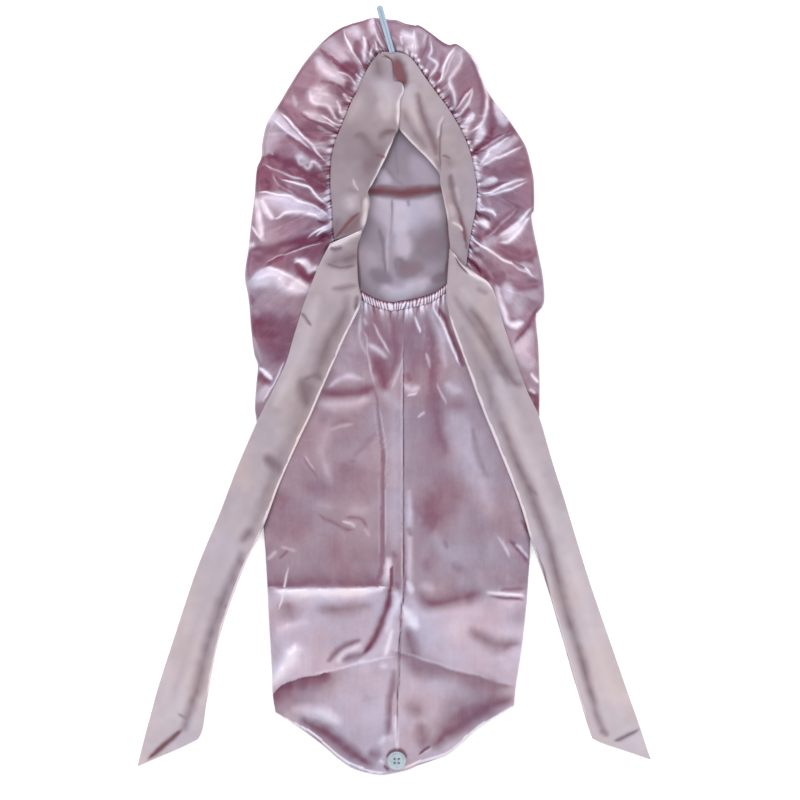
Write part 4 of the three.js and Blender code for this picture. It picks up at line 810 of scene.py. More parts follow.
def noise(x, y, size, seed):
    """Smooth value noise from -1 to 1 with cells of the given size."""
    table = np.random.RandomState(seed).uniform(-1, 1, (64, 64))
    u = np.asarray(x) / size + 1000
    v = np.asarray(y) / size + 1000
    i = np.floor(u).astype(int)
    j = np.floor(v).astype(int)
    fu = smooth(u - i, 0, 1)
    fv = smooth(v - j, 0, 1)
    a = table[i % 64, j % 64]
    b = table[(i + 1) % 64, j % 64]
    c = table[i % 64, (j + 1) % 64]
    d = table[(i + 1) % 64, (j + 1) % 64]
    return (a * (1 - fu) + b * fu) * (1 - fv) + (c * (1 - fu) + d * fu) * fv


def nearest_on(points, line):
    """Distance, side and share along a line for each point; the share blends smoothly inside a bend."""
    best = np.full(len(points), 1e9)
    side = np.zeros(len(points))
    share = np.zeros(len(points))
    weight = np.full(len(points), 1e-300)
    lengths = np.linalg.norm(np.diff(line, axis=0), axis=1)
    start = np.r_[0, np.cumsum(lengths)]
    for a, b, length, begin in zip(line, line[1:], lengths, start):
        way = (b - a) / max(length, 1e-9)
        rel = points - a
        along = np.clip(rel @ way, 0, length)
        off = rel - along[:, None] * way
        away = np.hypot(off[:, 0], off[:, 1])
        closer = away < best
        best = np.where(closer, away, best)
        side = np.where(closer, np.sign(way[0] * rel[:, 1] - way[1] * rel[:, 0]), side)
        pull = length * np.exp(-away / 0.8)
        share += pull * (begin + along) / start[-1]
        weight += pull
    return best, side, share / weight


OUTLINE = closed(chart(np.vstack([
    spline(EDGE_LEFT, 200), spline(SIDE_LEFT, 60)[1:], spline(HEM_LEFT, 50)[1:],
    spline(HEM_RIGHT, 50)[::-1][1:], spline(SIDE_RIGHT, 60)[::-1][1:], spline(EDGE_RIGHT, 200)[::-1][1:]])))
FACE_EDGE = closed(chart(np.vstack([
    spline(SEAM_LEFT, 90), spline(NAPE, 40)[1:], spline(SEAM_RIGHT, 90)[::-1][1:]])))
MARK_ORDER = ("soft", "edge", "strip", "line")


def lay_marks(points, marks, tone, core=0.3):
    """Lays charted marks of painted shade and highlight over the tone of the cloth, and gives the height
    that they raise it by.

    core is the share of a soft mark's width that keeps its full tone; below 0 it fades from its middle.
    """
    height = np.zeros(len(points))
    tone = tone.copy()
    x, y = points[:, 0], points[:, 1]
    moved = points + np.stack([sum(amount * noise(x, y, size, seed + axis) for amount, size, seed in WAVER)
                               for axis in (0, 1)], -1)
    strength = np.clip(1 + 0.22 * noise(x, y, 7, 7), 0.6, 1.15)
    for mark in sorted(marks, key=lambda each: MARK_ORDER.index(each.kind)):
        line = chart(spline(mark.points, 4 * len(mark.points)))
        reach = 3.2 * mark.width + 2 + 4 * mark.width * (mark.kind == "line")
        boxed = (moved > line.min(axis=0) - reach) & (moved < line.max(axis=0) + reach)
        near = np.nonzero(boxed.all(axis=1))[0]
        if len(near) == 0:
            continue
        away, side, share = nearest_on(moved[near], line)
        # Widest in the middle of its path, and fading towards both ends
        body = smooth(share, 0, 0.3) * (1 - smooth(share, 0.7, 1))
        if mark.kind == "line":
            ends = smooth(share, -0.02, 0.14) * (1 - smooth(share, 0.84, 1.02))
            q = away / (mark.width * (0.5 + 0.6 * body))
        else:
            ends = smooth(share, -0.3, 0.16) * (1 - smooth(share, 0.84, 1.3))
            q = away / (mark.width * (0.72 + 0.36 * body))
        ends = ends * strength[near]
        if mark.kind == "line":
            # A narrow crest or crease, on a lower and broader foot
            shape = np.exp(-(q * 1.15) ** 1.7) * ends
            lift = mark.tone * (0.5 * shape + 0.38 * ends * np.exp(-(away / (2.2 * mark.width + 1.2)) ** 2))
        elif mark.kind == "strip":
            # Level across its width, with crisp sides
            ends = smooth(share, 0, 0.06) * (1 - smooth(share, 0.94, 1))
            shape = (1 - smooth(away / mark.width, 0.75, 1.25)) * ends
            lift = 0.35 * mark.tone * shape
        elif mark.kind == "edge":
            # Full at its path, cut off on its right
            shape = np.exp(-q ** 1.4) * smooth(side * away, -0.5, 0.5) * strength[near]
            lift = 0.12 * mark.width * mark.tone * shape
        else:
            # A round swell or hollow
            shape = (1 - smooth(q, core, 1.75)) * ends
            lift = min(0.28 * mark.width, 1.9) * mark.tone * ends * np.exp(-q ** 2)
        cover = np.clip(shape, 0, 1)
        tone[near] = tone[near] * (1 - cover) + mark.tone * cover
        height[near] += lift
    return height, tone


def mesh_object(name, points, faces, uv=None, **attributes):
    """A smooth-shaded mesh object from points in mm and faces of point numbers."""
    mesh = bpy.data.meshes.new(name)
    faces = faces if isinstance(faces, list) else faces.tolist()
    mesh.from_pydata((np.asarray(points) * MM).tolist(), [], faces)
    mesh.polygons.foreach_set("use_smooth", np.ones(len(mesh.polygons), bool))
    if uv is not None:
        layer = mesh.uv_layers.new(name="cloth")
        corners = np.empty(len(mesh.loops), dtype=np.int32)
        mesh.loops.foreach_get("vertex_index", corners)
        layer.data.foreach_set("uv", (np.asarray(uv)[corners] * MM).ravel())
    for key, values in attributes.items():
        layer = mesh.attributes.new(key, "FLOAT", "POINT")
        layer.data.foreach_set("value", np.asarray(values, np.float32))
    mesh.update()
    piece = bpy.data.objects.new(name, mesh)
    bpy.context.collection.objects.link(piece)
    return piece


def grid_quads(rows, columns, flip=False, closed=False):
    """Quads of a rows x columns grid of points, closed round the columns if asked."""
    r = np.arange(rows - 1)[:, None] * columns
    c = np.arange(columns if closed else columns - 1)[None, :]
    n = (c + 1) % columns
    below = r + columns
    quads = np.stack([(r + c).ravel(), (r + n).ravel(), (below + n).ravel(), (below + c).ravel()], -1)
    return quads[:, ::-1] if flip else quads


def select_only(piece):
    """Makes the piece the only one selected, and active."""
    bpy.ops.object.select_all(action="DESELECT")
    bpy.context.view_layer.objects.active = piece
    piece.select_set(True)


def thicken(piece, thickness):
    """Gives a sheet its thickness, downwards, with the inside in its second material."""
    select_only(piece)
    bpy.ops.object.modifier_add(type="SOLIDIFY")
    wall = piece.modifiers[-1]
    wall.thickness = thickness
    wall.offset = -1
    wall.material_offset = 1
    wall.material_offset_rim = 0
    bpy.ops.object.modifier_apply(modifier=wall.name)


def finish_piece(piece, materials, slot, *nodes):
    """Gives the piece its materials, hangs it under the root body and hides the imported parts that it
    stands for.
    """
    for material in materials:
        piece.data.materials.append(material)
    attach(piece, ROOT)
    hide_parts(*nodes)


def crown_share(x, y):
    """1 over the puffed crown, 0 over the flat tail that starts below the nape."""
    below_nape = 1 - smooth(y, 60, 105)
    middle = 1 - smooth(np.abs(x - 7), 34, 82)
    return smooth(y, -40, 60) * (1 - below_nape * middle)


def edge_radius(x, y):
    """Half the pouch's thickness at its outer edge, by place."""
    sizes = bpy.context.scene.bonnet_sizes
    return (sizes.tail_edge + (sizes.crown_edge - sizes.tail_edge) * crown_share(x, y)) / MM


def edge_fall(from_edge, radius):
    """How far the cloth falls at its outer edge, rounded over the edge's radius."""
    inside = np.clip(from_edge / radius, 0, 1)
    return radius - np.sqrt(np.clip(radius ** 2 - (radius * (1 - inside)) ** 2, 0, None))


def seam_height(y):
    """Height of the band's seam, lower at the nape."""
    sizes = bpy.context.scene.bonnet_sizes
    return (sizes.nape_height + (sizes.seam_height - sizes.nape_height) * smooth(y, 80, 165)) / MM


def front_layer(p, marks, ground, core):
    """Height of the front layer above the surface, its tone, and its distance from the outline."""
    sizes = bpy.context.scene.bonnet_sizes
    x, y = p[:, 0], p[:, 1]
    share = crown_share(x, y)
    radius = edge_radius(x, y)
    tail = TIP_LOFT + (sizes.tail_loft / MM - TIP_LOFT) * smooth(y, *TIP_RISE)
    loft = tail + (sizes.crown_loft / MM - tail) * share
    seam = np.minimum(seam_height(y), loft)
    from_edge, _, _ = nearest_on(p, OUTLINE)
    from_seam, _, _ = nearest_on(p, FACE_EDGE)
    body = seam + (loft - seam) * rise(from_seam / SEAM_SLOPE)
    lift, tone = lay_marks(p, marks, ground, core)
    # Folds, swells and rumples die away towards the outer edge and the band's seam
    calm = rise(from_edge / 9) * rise((from_seam + 1) / 7)
    swell = 1.2 * noise(x, y, 44, 11) * rise(from_edge / 30)
    rumple = 0.35 * noise(x, y, 12, 12) + 0.12 * noise(x, y, 5, 13)
    slope = TAIL_SLOPE + (CROWN_SLOPE - TAIL_SLOPE) * share
    height = 2 * radius + (body - 2 * radius) * rise(from_edge / slope)
    height += (lift + swell + rumple) * calm
    height -= edge_fall(from_edge, radius)
    return height, tone, from_edge


def gathers(along, out, sets):
    """Puckers that start at a seam: their height, and their painted shade and highlight near the seam, as a
    tone from -1 to 1.

    along and out are the way along the seam and away from it, sets the rows of a table of gathers.
    """
    height = np.zeros_like(along)
    tone = np.zeros_like(along)
    for pitch, tall, reach, seed in sets:
        # Every gather has its own luck, which makes it taller and longer than its neighbour or less
        phase = along / pitch + 0.5 * noise(along, out * 0.5, 2.6 * pitch, seed)
        luck = np.random.RandomState(seed).uniform(0.5, 1.5, 4096)[np.floor(phase).astype(int) % 4096]
        crest = 2 * luck * np.abs(np.sin(np.pi * phase)) ** 0.8 * np.exp(-(out / (reach * luck)) ** 2)
        wave = crest - 1.1 * np.exp(-(out / reach) ** 2)
        height += tall * wave * (0.35 + 0.65 * smooth(out, 0, 0.3 * pitch))
        tone += 0.55 * wave
    return height, np.clip(tone, -1, 1)


def satin_crown(name, seam_points, rim_points, marks, start):
    """One half of the puffed crown, gathered on to the band, from the parting down to the nape.

    start is where in the run of gathers this half begins, in mm, so that the halves differ.
    """
    columns, rows = 470, 96
    seam = even(chart(spline(seam_points, 300)), columns)
    rim = even(chart(spline(rim_points, 300)), columns)
    way = rim - seam
    length = np.linalg.norm(way, axis=1)
    # Rows lie closer together at the seam and at the rim
    s = np.linspace(0, 1, rows - 1)
    share = s - 0.055 * np.sin(2 * np.pi * s)
    tuck = -SEAM_TUCK / length[None, :]
    share = np.vstack([tuck, np.repeat(share[:, None], columns, axis=1)])
    flat = (seam[None] + way[None] * share[..., None]).reshape(-1, 2)
    out = (share * length[None]).ravel()
    step = np.linalg.norm(seam[1] - seam[0])
    along = np.tile(np.arange(columns) * step, rows)
    x, y = flat[:, 0], flat[:, 1]
    ground = 0.12 * noise(x, y, 24, 61) + 0.08 * noise(x, y, 9, 62) - 0.08
    height, tone, _ = front_layer(flat, marks, ground, 0.2)
    ends = smooth(along, -8, 12) * (1 - smooth(along, along.max() - 40, along.max()))
    pucker, shade = gathers(along + start, np.clip(out, 0, None), CROWN_GATHERS)
    height += pucker * ends * smooth(out, -3, 3) - 1.6 * (1 - smooth(out, -2.5, 2.5))
    height = np.where(out < -0.5, seam_height(y) - TUCK_DEPTH, height)
    # The gathers' own painted shade and highlight near the seam, and a painted dark line of shade along the
    # seam itself, where the cloth runs in under the band
    cover = 0.9 * np.exp(-(out / 5.2) ** 2) * ends
    tone = tone * (1 - cover) + (1.3 * shade - 0.12) * cover - 0.7 * np.exp(-((out - 0.1) / 1.0) ** 2)
    tone -= CROWN_DEEPENING * (1 - np.clip(tone, -1, 1) ** 2)
    # Each puff is raised a little and given a painted highlight
    for place in chart(PUFFS):
        puff = np.exp(-(np.hypot(*(flat - place).T) / PUFF_RADIUS) ** 2.4)
        tone += (PUFF_TONE - tone) * puff
        height += PUFF_HEIGHT * puff
    cloth = np.stack([x, y, height], -1)
    tone += 0.06 * noise(along, out * 0.16, 1.9, 67) + 0.04 * noise(x, y, 1.6, 68)
    piece = mesh_object(name, cloth, grid_quads(rows, columns, flip=rim[0, 0] > rim[-1, 0]),
                        uv=np.stack([along, out], -1), tone=tone)
    return piece, cloth


def tail_panel(name, side_points, hem_points, corner, right):
    """One half of the long tail, between a side edge and the centre seam, from the nape to the hem."""
    columns, rows = 108, 330
    outer = even(chart(np.vstack([[corner], spline(side_points, 200)])), rows)
    inner = even(chart(spline(CENTRE_SEAM, 300)), rows)
    nape = chart(spline(NAPE, 200))
    middle = np.argmin(np.abs(nape[:, 0] - inner[0, 0]))
    top = even(nape[middle:][::-1] if right else nape[:middle + 1], columns)
    bottom = even(chart(spline(hem_points, 200)), columns)
    # Columns lie closer together at the side edge; the four edges are blended into one sheet
    across = (np.linspace(0, 1, columns) ** 1.15)[None, :, None]
    v = np.linspace(0, 1, rows)[:, None, None]
    pick = across[0, :, 0] * (columns - 1)
    index = np.arange(columns)
    top_u = np.stack([np.interp(pick, index, top[:, k]) for k in range(2)], -1)
    bottom_u = np.stack([np.interp(pick, index, bottom[:, k]) for k in range(2)], -1)
    sides = outer[:, None] * (1 - across) + inner[:, None] * across
    ends = top_u[None] * (1 - v) + bottom_u[None] * v
    corners = (outer[0] * (1 - across) + inner[0] * across) * (1 - v) \
        + (outer[-1] * (1 - across) + inner[-1] * across) * v
    flat = (sides + ends - corners).reshape(-1, 2)
    x, y = flat[:, 0], flat[:, 1]
    # Painted light: the tail is lighter towards its hem, and more so on its right, over random patches
    ground = -0.1 + 0.43 * smooth(-y, 176, 196) + 0.1 * smooth(x, 10, 60) * smooth(-y, 190, 240)
    ground += 0.12 * noise(x, y, 30, 63) + 0.09 * noise(x, y * 0.6, 9, 64)
    crinkle = 1 - np.abs(noise(x + 0.6 * y, y - 0.3 * x, 15, 91))
    ground += 0.1 * smooth(crinkle, 0.9, 1) * noise(x, y, 22, 92)
    height, tone, from_edge = front_layer(flat, CROWN_LEFT + CROWN_RIGHT + TAIL, ground, -0.45)
    down = nearest_on(flat, chart(spline(NAPE, 60)))[0]
    pucker, shade = gathers(x + 60, down, NAPE_GATHERS)
    height += 0.8 * pucker
    # Painted highlight and shade of the nape's gathers, just below the casing
    cover = 0.75 * np.exp(-(down / 9) ** 2)
    tone = tone * (1 - cover) + 1.2 * shade * cover
    height += 0.22 * noise(x, y * 0.16, 9, 31) * smooth(down, 10, 60) * rise(from_edge / 10)
    tone += 0.03 * noise(x, y * 0.14, 1.7, 69) + 0.035 * noise(x, y, 1.5, 70)
    cloth = np.stack([x, y, height], -1)
    piece = mesh_object(name, cloth, grid_quads(rows, columns, flip=not right), uv=flat, tone=tone)
    return piece, cloth


class HeightMap:
    """Top of the cloth below, on a grid, for pieces that lie on it."""

    def __init__(self, cell, spread):
        self.cell = cell
        self.spread = spread
        self.low = np.array(MAP_CORNER)
        self.map = np.zeros((int(MAP_WIDTH / cell), int(MAP_LENGTH / cell)))

    def add(self, points):
        """Raises the map to the highest of the points in each cell."""
        ij = np.floor((points[:, :2] - self.low) / self.cell).astype(int)
        np.maximum.at(self.map, (ij[:, 0], ij[:, 1]), points[:, 2])

    def settle(self):
        """Widens the high places, then evens them out, so that a piece lies softly over them."""
        for turn in range(3 * self.spread):
            padded = np.pad(self.map, 1, mode="edge")
            around = [padded[1 + i:padded.shape[0] - 1 + i, 1 + j:padded.shape[1] - 1 + j]
                      for i in (-1, 0, 1) for j in (-1, 0, 1)]
            self.map = np.max(around, axis=0) if turn < self.spread else np.mean(around, axis=0)

    def at(self, points):
        """Height of the map under each point."""
        uv = (points - self.low) / self.cell - 0.5
        i, j = np.floor(uv).astype(int).T
        fu, fv = (uv - np.floor(uv)).T
        m = self.map
        return ((m[i, j] * (1 - fu) + m[i + 1, j] * fu) * (1 - fv)
                + (m[i, j + 1] * (1 - fu) + m[i + 1, j + 1] * fu) * fv)


CLOTH_TOP = HeightMap(MAP_CELL, MAP_SPREAD)


def back_layer():
    """The back layer, flat on the surface, its wrong side showing through the face opening."""
    left, right = (chart(np.vstack([spline(edge, 300), spline(side, 90)[1:], spline(hem, 60)[1:]]))
                   for edge, side, hem in ((EDGE_LEFT, SIDE_LEFT, HEM_LEFT),
                                           (EDGE_RIGHT, SIDE_RIGHT, HEM_RIGHT)))
    open_low, open_top = OPENING_Y
    high, low = left[0, 1] - 0.8, min(left[-1, 1], right[-1, 1]) + 0.6
    ys = np.r_[np.linspace(high, open_top, 36)[:-1], np.linspace(open_top, open_low, 130)[:-1],
               np.linspace(open_low, low, 70)]
    x_left = np.interp(-ys, np.maximum.accumulate(-left[:, 1]), left[:, 0])
    x_right = np.interp(-ys, np.maximum.accumulate(-right[:, 1]), right[:, 0])
    inset = np.minimum(BACK_INSET, 0.2 * (x_right - x_left))
    x_left, x_right = x_left + inset, x_right - inset
    # Columns crowd at both sides and lie evenly between near and far, under the opening
    near = np.maximum(OPENING_X[0], x_left + 0.12 * (x_right - x_left))
    far = np.minimum(OPENING_X[1], x_right - 0.12 * (x_right - x_left))
    a = np.linspace(0, 1, 17)[None, :-1] ** 1.3
    b = np.linspace(0, 1, 72)[None, :-1]
    c = 1 - np.linspace(1, 0, 17)[None, :] ** 1.3
    xs = np.hstack([x_left[:, None] + (near - x_left)[:, None] * a,
                    near[:, None] + (far - near)[:, None] * b,
                    far[:, None] + (x_right - far)[:, None] * c])
    rows, columns = xs.shape
    flat = np.stack([xs, np.repeat(ys[:, None], columns, axis=1)], -1).reshape(-1, 2)
    x, y = flat[:, 0], flat[:, 1]
    from_edge, _, _ = nearest_on(flat, OUTLINE)
    radius = edge_radius(x, y)
    height = edge_fall(from_edge, radius)
    open_face = smooth(y, 70, 110) * (1 - smooth(y, 255, 285)) * (1 - smooth(np.abs(x - 8), 62, 80))
    # Above the charted step the inside lies on a low shelf, as the fold in the opening shows
    step_line = chart(spline(INNER_STEP, 30))
    above = y - np.interp(x, *step_line.T)
    fold, tone = lay_marks(flat, INSIDE, 0.06 * noise(x, y, 14, 65) + 0.03 * noise(x, y, 4, 66))
    shelf = 4.6 * smooth(above, -1.6, 3.4) * (1 - 0.35 * smooth(above, 6, 50))
    swell = 1.2 + 0.8 * noise(x, y, 30, 41) + 0.25 * noise(x, y, 9, 42)
    height += open_face * (shelf + 0.7 * fold + np.clip(swell, 0.2, None))
    height = np.maximum(height, 0).reshape(rows, columns)
    rim = radius.reshape(rows, columns) - RIM_DROP
    height[:, [0, -1]] = rim[:, [0, -1]]
    height[[0, -1], :] = rim[[0, -1], :]
    cloth = np.stack([x, y, height.ravel() + BACK_HEIGHT], -1)
    piece = mesh_object("back_cloth", cloth, grid_quads(rows, columns, flip=True), uv=flat, tone=tone)
    return piece, cloth


def double_cloth(name, edges, columns, rows, thickness, lift, marks, ground):
    """A strip of doubled cloth between two charted edges, closed, with soft rounded edges.

    lift gives the underside's height from the places and their shares across, ground the tone from Y.
    """
    pick = np.linspace(0, len(edges) - 1, rows)
    cut = []
    for side in (0, 1):
        ends = stretched(chart([pair[side] for pair in edges]))
        k = np.minimum(pick.astype(int), len(edges) - 2)
        cut.append(curve(ends[k], ends[k + 1], ends[k + 2], ends[k + 3], (pick - k)[:, None]))
    left, right = cut
    # Once across on top and back underneath, with the points closer together at both sides
    u = 0.5 - 0.5 * np.cos(np.pi * np.linspace(0, 1, columns))
    u = 0.6 * u + 0.4 * np.linspace(0, 1, columns)
    loop = np.r_[u, u[-2:0:-1]]
    top = np.r_[np.ones(columns), -np.ones(columns - 2)]
    top[0] = top[columns - 1] = 0
    flat = (left[:, None] * (1 - loop[None, :, None]) + right[:, None] * loop[None, :, None])
    width = np.linalg.norm(right - left, axis=1)[:, None]
    from_side = np.minimum(loop, 1 - loop)[None] * width
    run = run_of((left + right) / 2)
    from_end = np.minimum(run, run[-1] - run)[:, None] + 0.15
    reach = np.minimum(from_side, from_end)
    half = thickness / 2
    inside = np.clip(reach / half, 0, 1)
    swell = half * np.sqrt(np.clip(1 - (1 - inside) ** 2, 0, 1))
    points = flat.reshape(-1, 2)
    x, y = points[:, 0], points[:, 1]
    tone = ground(y) + 0.07 * noise(x, y, 20, 71) + 0.04 * noise(x, y, 6, 72)
    fold, tone = lay_marks(points, marks, tone, -0.8)
    tone *= DOUBLED_CONTRAST
    fold = (fold * rise(from_side.ravel() / 2.5) + 0.2 * noise(x, y, 22, 51)) * (np.tile(top, rows) > 0)
    fold = np.maximum(fold, -0.62 * thickness)
    share = np.tile(loop, rows)
    height = lift(points, share) + half + (swell * top[None]).ravel() + fold
    cloth = np.stack([x, y, height], -1)
    # Each end is closed by quads from its upper to its lower row
    caps = []
    for start in (0, (rows - 1) * len(loop)):
        for i in range(columns - 1):
            lower = [(len(loop) - i) % len(loop), len(loop) - i - 1]
            quad = [start + i, start + i + 1, start + lower[1], start + lower[0]]
            caps.append(quad if start else quad[::-1])
    faces = grid_quads(rows, len(loop), closed=True).tolist() + [list(dict.fromkeys(q)) for q in caps]
    uv = np.stack([(share - 0.5) * np.repeat(width[:, 0], len(loop)), np.repeat(run, len(loop))], -1)
    return closed_piece(name, cloth, faces, uv=uv, tone=tone), cloth


def closed_piece(name, points, faces, uv=None, tone=None):
    """A mesh object whose surface closes on itself, its faces turned outwards."""
    piece = mesh_object(name, points, faces, uv=uv, tone=tone)
    select_only(piece)
    bpy.ops.object.mode_set(mode="EDIT")
    bpy.ops.mesh.select_all(action="SELECT")
    bpy.ops.mesh.normals_make_consistent(inside=False)
    bpy.ops.object.mode_set(mode="OBJECT")
    return piece


def tube(name, points, rows, sides, tone):
    """A closed tube from rings of points."""
    first = np.arange(sides)
    last = first + (rows - 1) * sides
    faces = grid_quads(rows, sides, closed=True).tolist() + [first.tolist(), last.tolist()]
    return closed_piece(name, points, faces, tone=tone)


def nape_casing():
    """The gathered casing at the nape: a soft tube, puckered tightly by the elastic inside it."""
    sizes = bpy.context.scene.bonnet_sizes
    rows, sides = 300, 30
    top = even(chart(spline(NAPE_TOP, 300)), rows)
    low = even(chart(spline(NAPE, 300)), rows)
    middle = (top + low) / 2
    along = np.linspace(0, run_of(middle)[-1], rows)[:, None]
    turn = np.linspace(0, 2 * np.pi, sides, endpoint=False)[None, :]
    # The puckers lean one way and the other, and their spacing varies
    lean = 0.9 * np.sin(along / 9) + 0.7 * noise(along, 0 * along, 5, 81)
    phase = along / (sizes.casing_pitch / MM) + 0.28 * lean * np.cos(turn)
    phase = phase + 0.9 * noise(along, turn, 6, 82)
    wave = np.abs(np.sin(np.pi * phase)) ** 0.7
    half = (top - low)[:, None] / 2
    swell = 0.84 + 0.26 * wave
    flat = middle[:, None] + half * (np.cos(turn) * swell)[..., None]
    base = seam_height(middle[:, 1])[:, None] - CASING_SINK
    height = base + sizes.casing_height / MM / 2 * np.sin(turn) * (0.78 + 0.34 * wave)
    # Painted highlight on the puckers, and painted shade towards the side that turns down into the opening
    upper = np.cos(turn) + 0 * along
    tone = 1.8 * (wave - 0.5) * (1 - 0.55 * smooth(upper, 0.1, 0.8)) + 0.1
    tone = tone + 0.5 * noise(along, 3 * turn, 2.6, 83)
    tone = tone - 0.8 * smooth(upper, 0.3, 0.9)
    tone -= 1.5 * smooth(upper, 0.72, 0.98) + 0.35 * smooth(upper, 0.1, 0.6)
    cloth = np.concatenate([flat, height[..., None]], -1).reshape(-1, 3)
    return tube("nape_casing_cloth", cloth, rows, sides, np.clip(tone, -1, 1.2).ravel())


def flat_cord(name, path, width, thickness, knit):
    """A flat cord along a path in mm, with the rounded bumps of its knit."""
    path = np.asarray(path, float)
    width = np.broadcast_to(width, len(path))[:, None]
    sides = 12
    way = np.gradient(path, axis=0)
    way /= np.linalg.norm(way, axis=1, keepdims=True)
    across = np.cross(way, [0, 0, 1.0])
    across /= np.linalg.norm(across, axis=1, keepdims=True)
    up = np.cross(across, way)
    run = run_of(path)[:, None]
    turn = np.linspace(0, 2 * np.pi, sides, endpoint=False)[None, :]
    bump = 1 + knit * np.sin(2 * np.pi * run / 1.5 + np.pi * (np.cos(turn) > 0)) * np.abs(np.sin(turn))
    ring = across[:, None] * (np.cos(turn) * width / 2)[..., None] \
        + up[:, None] * (np.sin(turn) * bump * thickness / 2)[..., None]
    # Painted highlight on the knit's bumps and painted shade between them
    tone = 0.5 * (bump - 1) / max(knit, 1e-6) + 0 * turn
    return tube(name, (path[:, None] + ring).reshape(-1, 3), len(path), sides, tone.ravel())


def stitched_button():
    """A four-hole button: a turned rim round a dished face, its holes cut through."""
    sizes = bpy.context.scene.bonnet_sizes
    low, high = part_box("button")
    place = [(low[0] + high[0]) / 2, (low[1] + high[1]) / 2, (low[2] + high[2]) / 2]
    tall = high[2] - low[2]
    bpy.ops.object.select_all(action="DESELECT")
    bpy.ops.mesh.primitive_cylinder_add(vertices=72, radius=sizes.button_width / 2, depth=tall,
                                        location=place)
    button = bpy.context.object
    button.name = "four_hole_button"
    bpy.ops.object.mode_set(mode="EDIT")
    bpy.ops.mesh.select_all(action="DESELECT")
    bpy.ops.object.mode_set(mode="OBJECT")
    for face in button.data.polygons:
        face.select = face.normal.z > 0.9
    bpy.ops.object.mode_set(mode="EDIT")
    for width, depth in BUTTON_RINGS:
        bpy.ops.mesh.inset(thickness=width, depth=depth)
    bpy.ops.object.mode_set(mode="OBJECT")
    bpy.ops.object.modifier_add(type="BEVEL")
    rounding = button.modifiers[-1]
    rounding.width = BUTTON_ROUNDING
    rounding.segments = 3
    rounding.limit_method = "ANGLE"
    bpy.ops.object.modifier_apply(modifier=rounding.name)
    spacing = sizes.hole_spacing / 2
    for dx, dy in ((-1, -1), (1, -1), (-1, 1), (1, 1)):
        hole = (place[0] + dx * spacing, place[1] + dy * spacing, place[2])
        bpy.ops.object.select_all(action="DESELECT")
        bpy.ops.mesh.primitive_cylinder_add(vertices=20, radius=sizes.hole_width / 2, depth=3 * tall,
                                            location=hole)
        drill = bpy.context.object
        select_only(button)
        bpy.ops.object.modifier_add(type="BOOLEAN")
        cut = button.modifiers[-1]
        cut.operation = "DIFFERENCE"
        cut.object = drill
        bpy.ops.object.modifier_apply(modifier=cut.name)
        bpy.data.objects.remove(drill)
    select_only(button)
    bpy.ops.object.shade_smooth_by_angle(angle=math.radians(35))
    bpy.ops.object.transform_apply(location=True, rotation=True, scale=True)
    return button


def button_stitches():
    """Two stitches through the button's holes, sunk into the cloth below."""
    sizes = bpy.context.scene.bonnet_sizes
    low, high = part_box("button")
    x = (low[0] + high[0]) / 2 / MM
    y = (low[1] + high[1]) / 2 / MM
    top = high[2] / MM
    reach = sizes.hole_spacing / 2 / MM
    runs = []
    for side in (-1, 1):
        t = np.linspace(-1, 1, 25)
        over = STITCH_ARCH * np.cos(t * 1.6)
        down = -STITCH_SINK * (np.abs(t) - HOLE_AT) / (1 - HOLE_AT)
        height = top - STITCH_TOP + np.where(np.abs(t) < HOLE_AT, over, down)
        runs.append(np.stack([x + reach * 1.06 * np.sin(np.clip(t, -0.8, 0.8) * np.pi / 1.6),
                              np.full_like(t, y + side * reach), height], -1))
    parts = [flat_cord("stitch", run, STITCH_WIDTH, STITCH_THICKNESS, 0.1) for run in runs]
    bpy.ops.object.select_all(action="DESELECT")
    for part in parts:
        part.select_set(True)
    bpy.context.view_layer.objects.active = parts[0]
    bpy.ops.object.join()
    parts[0].name = "button_stitches"
    return parts[0]


def band_lift(side):
    """Gives the function for the height of one band half's underside.

    It lies level with the seam, lower at its inner edge, and laps over the other half at the slit.
    """
    sizes = bpy.context.scene.bonnet_sizes

    def lift(points, share):
        x, y = points[:, 0], points[:, 1]
        drop = sizes.band_drop / MM * share
        over_low = smooth(y, 236, 242) * (1 - smooth(y, 284, 288)) * smooth(x, -14, -4)
        over_top = smooth(y, 284, 288) * (1 - smooth(x, 10, 22))
        lap = BAND_LAP * (over_low if side == "left" else over_top)
        return seam_height(y) - BAND_SINK - drop + lap
    return lift


def colour(hex_value):
    """sRGB hex as linear RGBA."""
    parts = [int(hex_value[i:i + 2], 16) / 255 for i in (0, 2, 4)]
    return [c / 12.92 if c <= 0.04045 else ((c + 0.055) / 1.055) ** 2.4 for c in parts] + [1.0]


def add_node(tree, kind, inputs=None, **settings):
    """Adds a node with its settings, values and links."""
    made = tree.nodes.new(kind)
    for key, value in settings.items():
        setattr(made, key, value)
    for key, value in (inputs or {}).items():
        if isinstance(value, bpy.types.NodeSocket):
            tree.links.new(value, made.inputs[key])
        else:
            made.inputs[key].default_value = value
    return made


def new_material(name):
    """A node material, its tree and its shader."""
    material = bpy.data.materials.new(name)
    material.use_nodes = True
    tree = material.node_tree
    tree.nodes.clear()
    shader = add_node(tree, "ShaderNodeBsdfPrincipled")
    output = add_node(tree, "ShaderNodeOutputMaterial")
    tree.links.new(shader.outputs[0], output.inputs["Surface"])
    return material, tree, shader


def per_metre(size):
    """A noise texture's scale for patches of a size in mm."""
    return 1000 / size


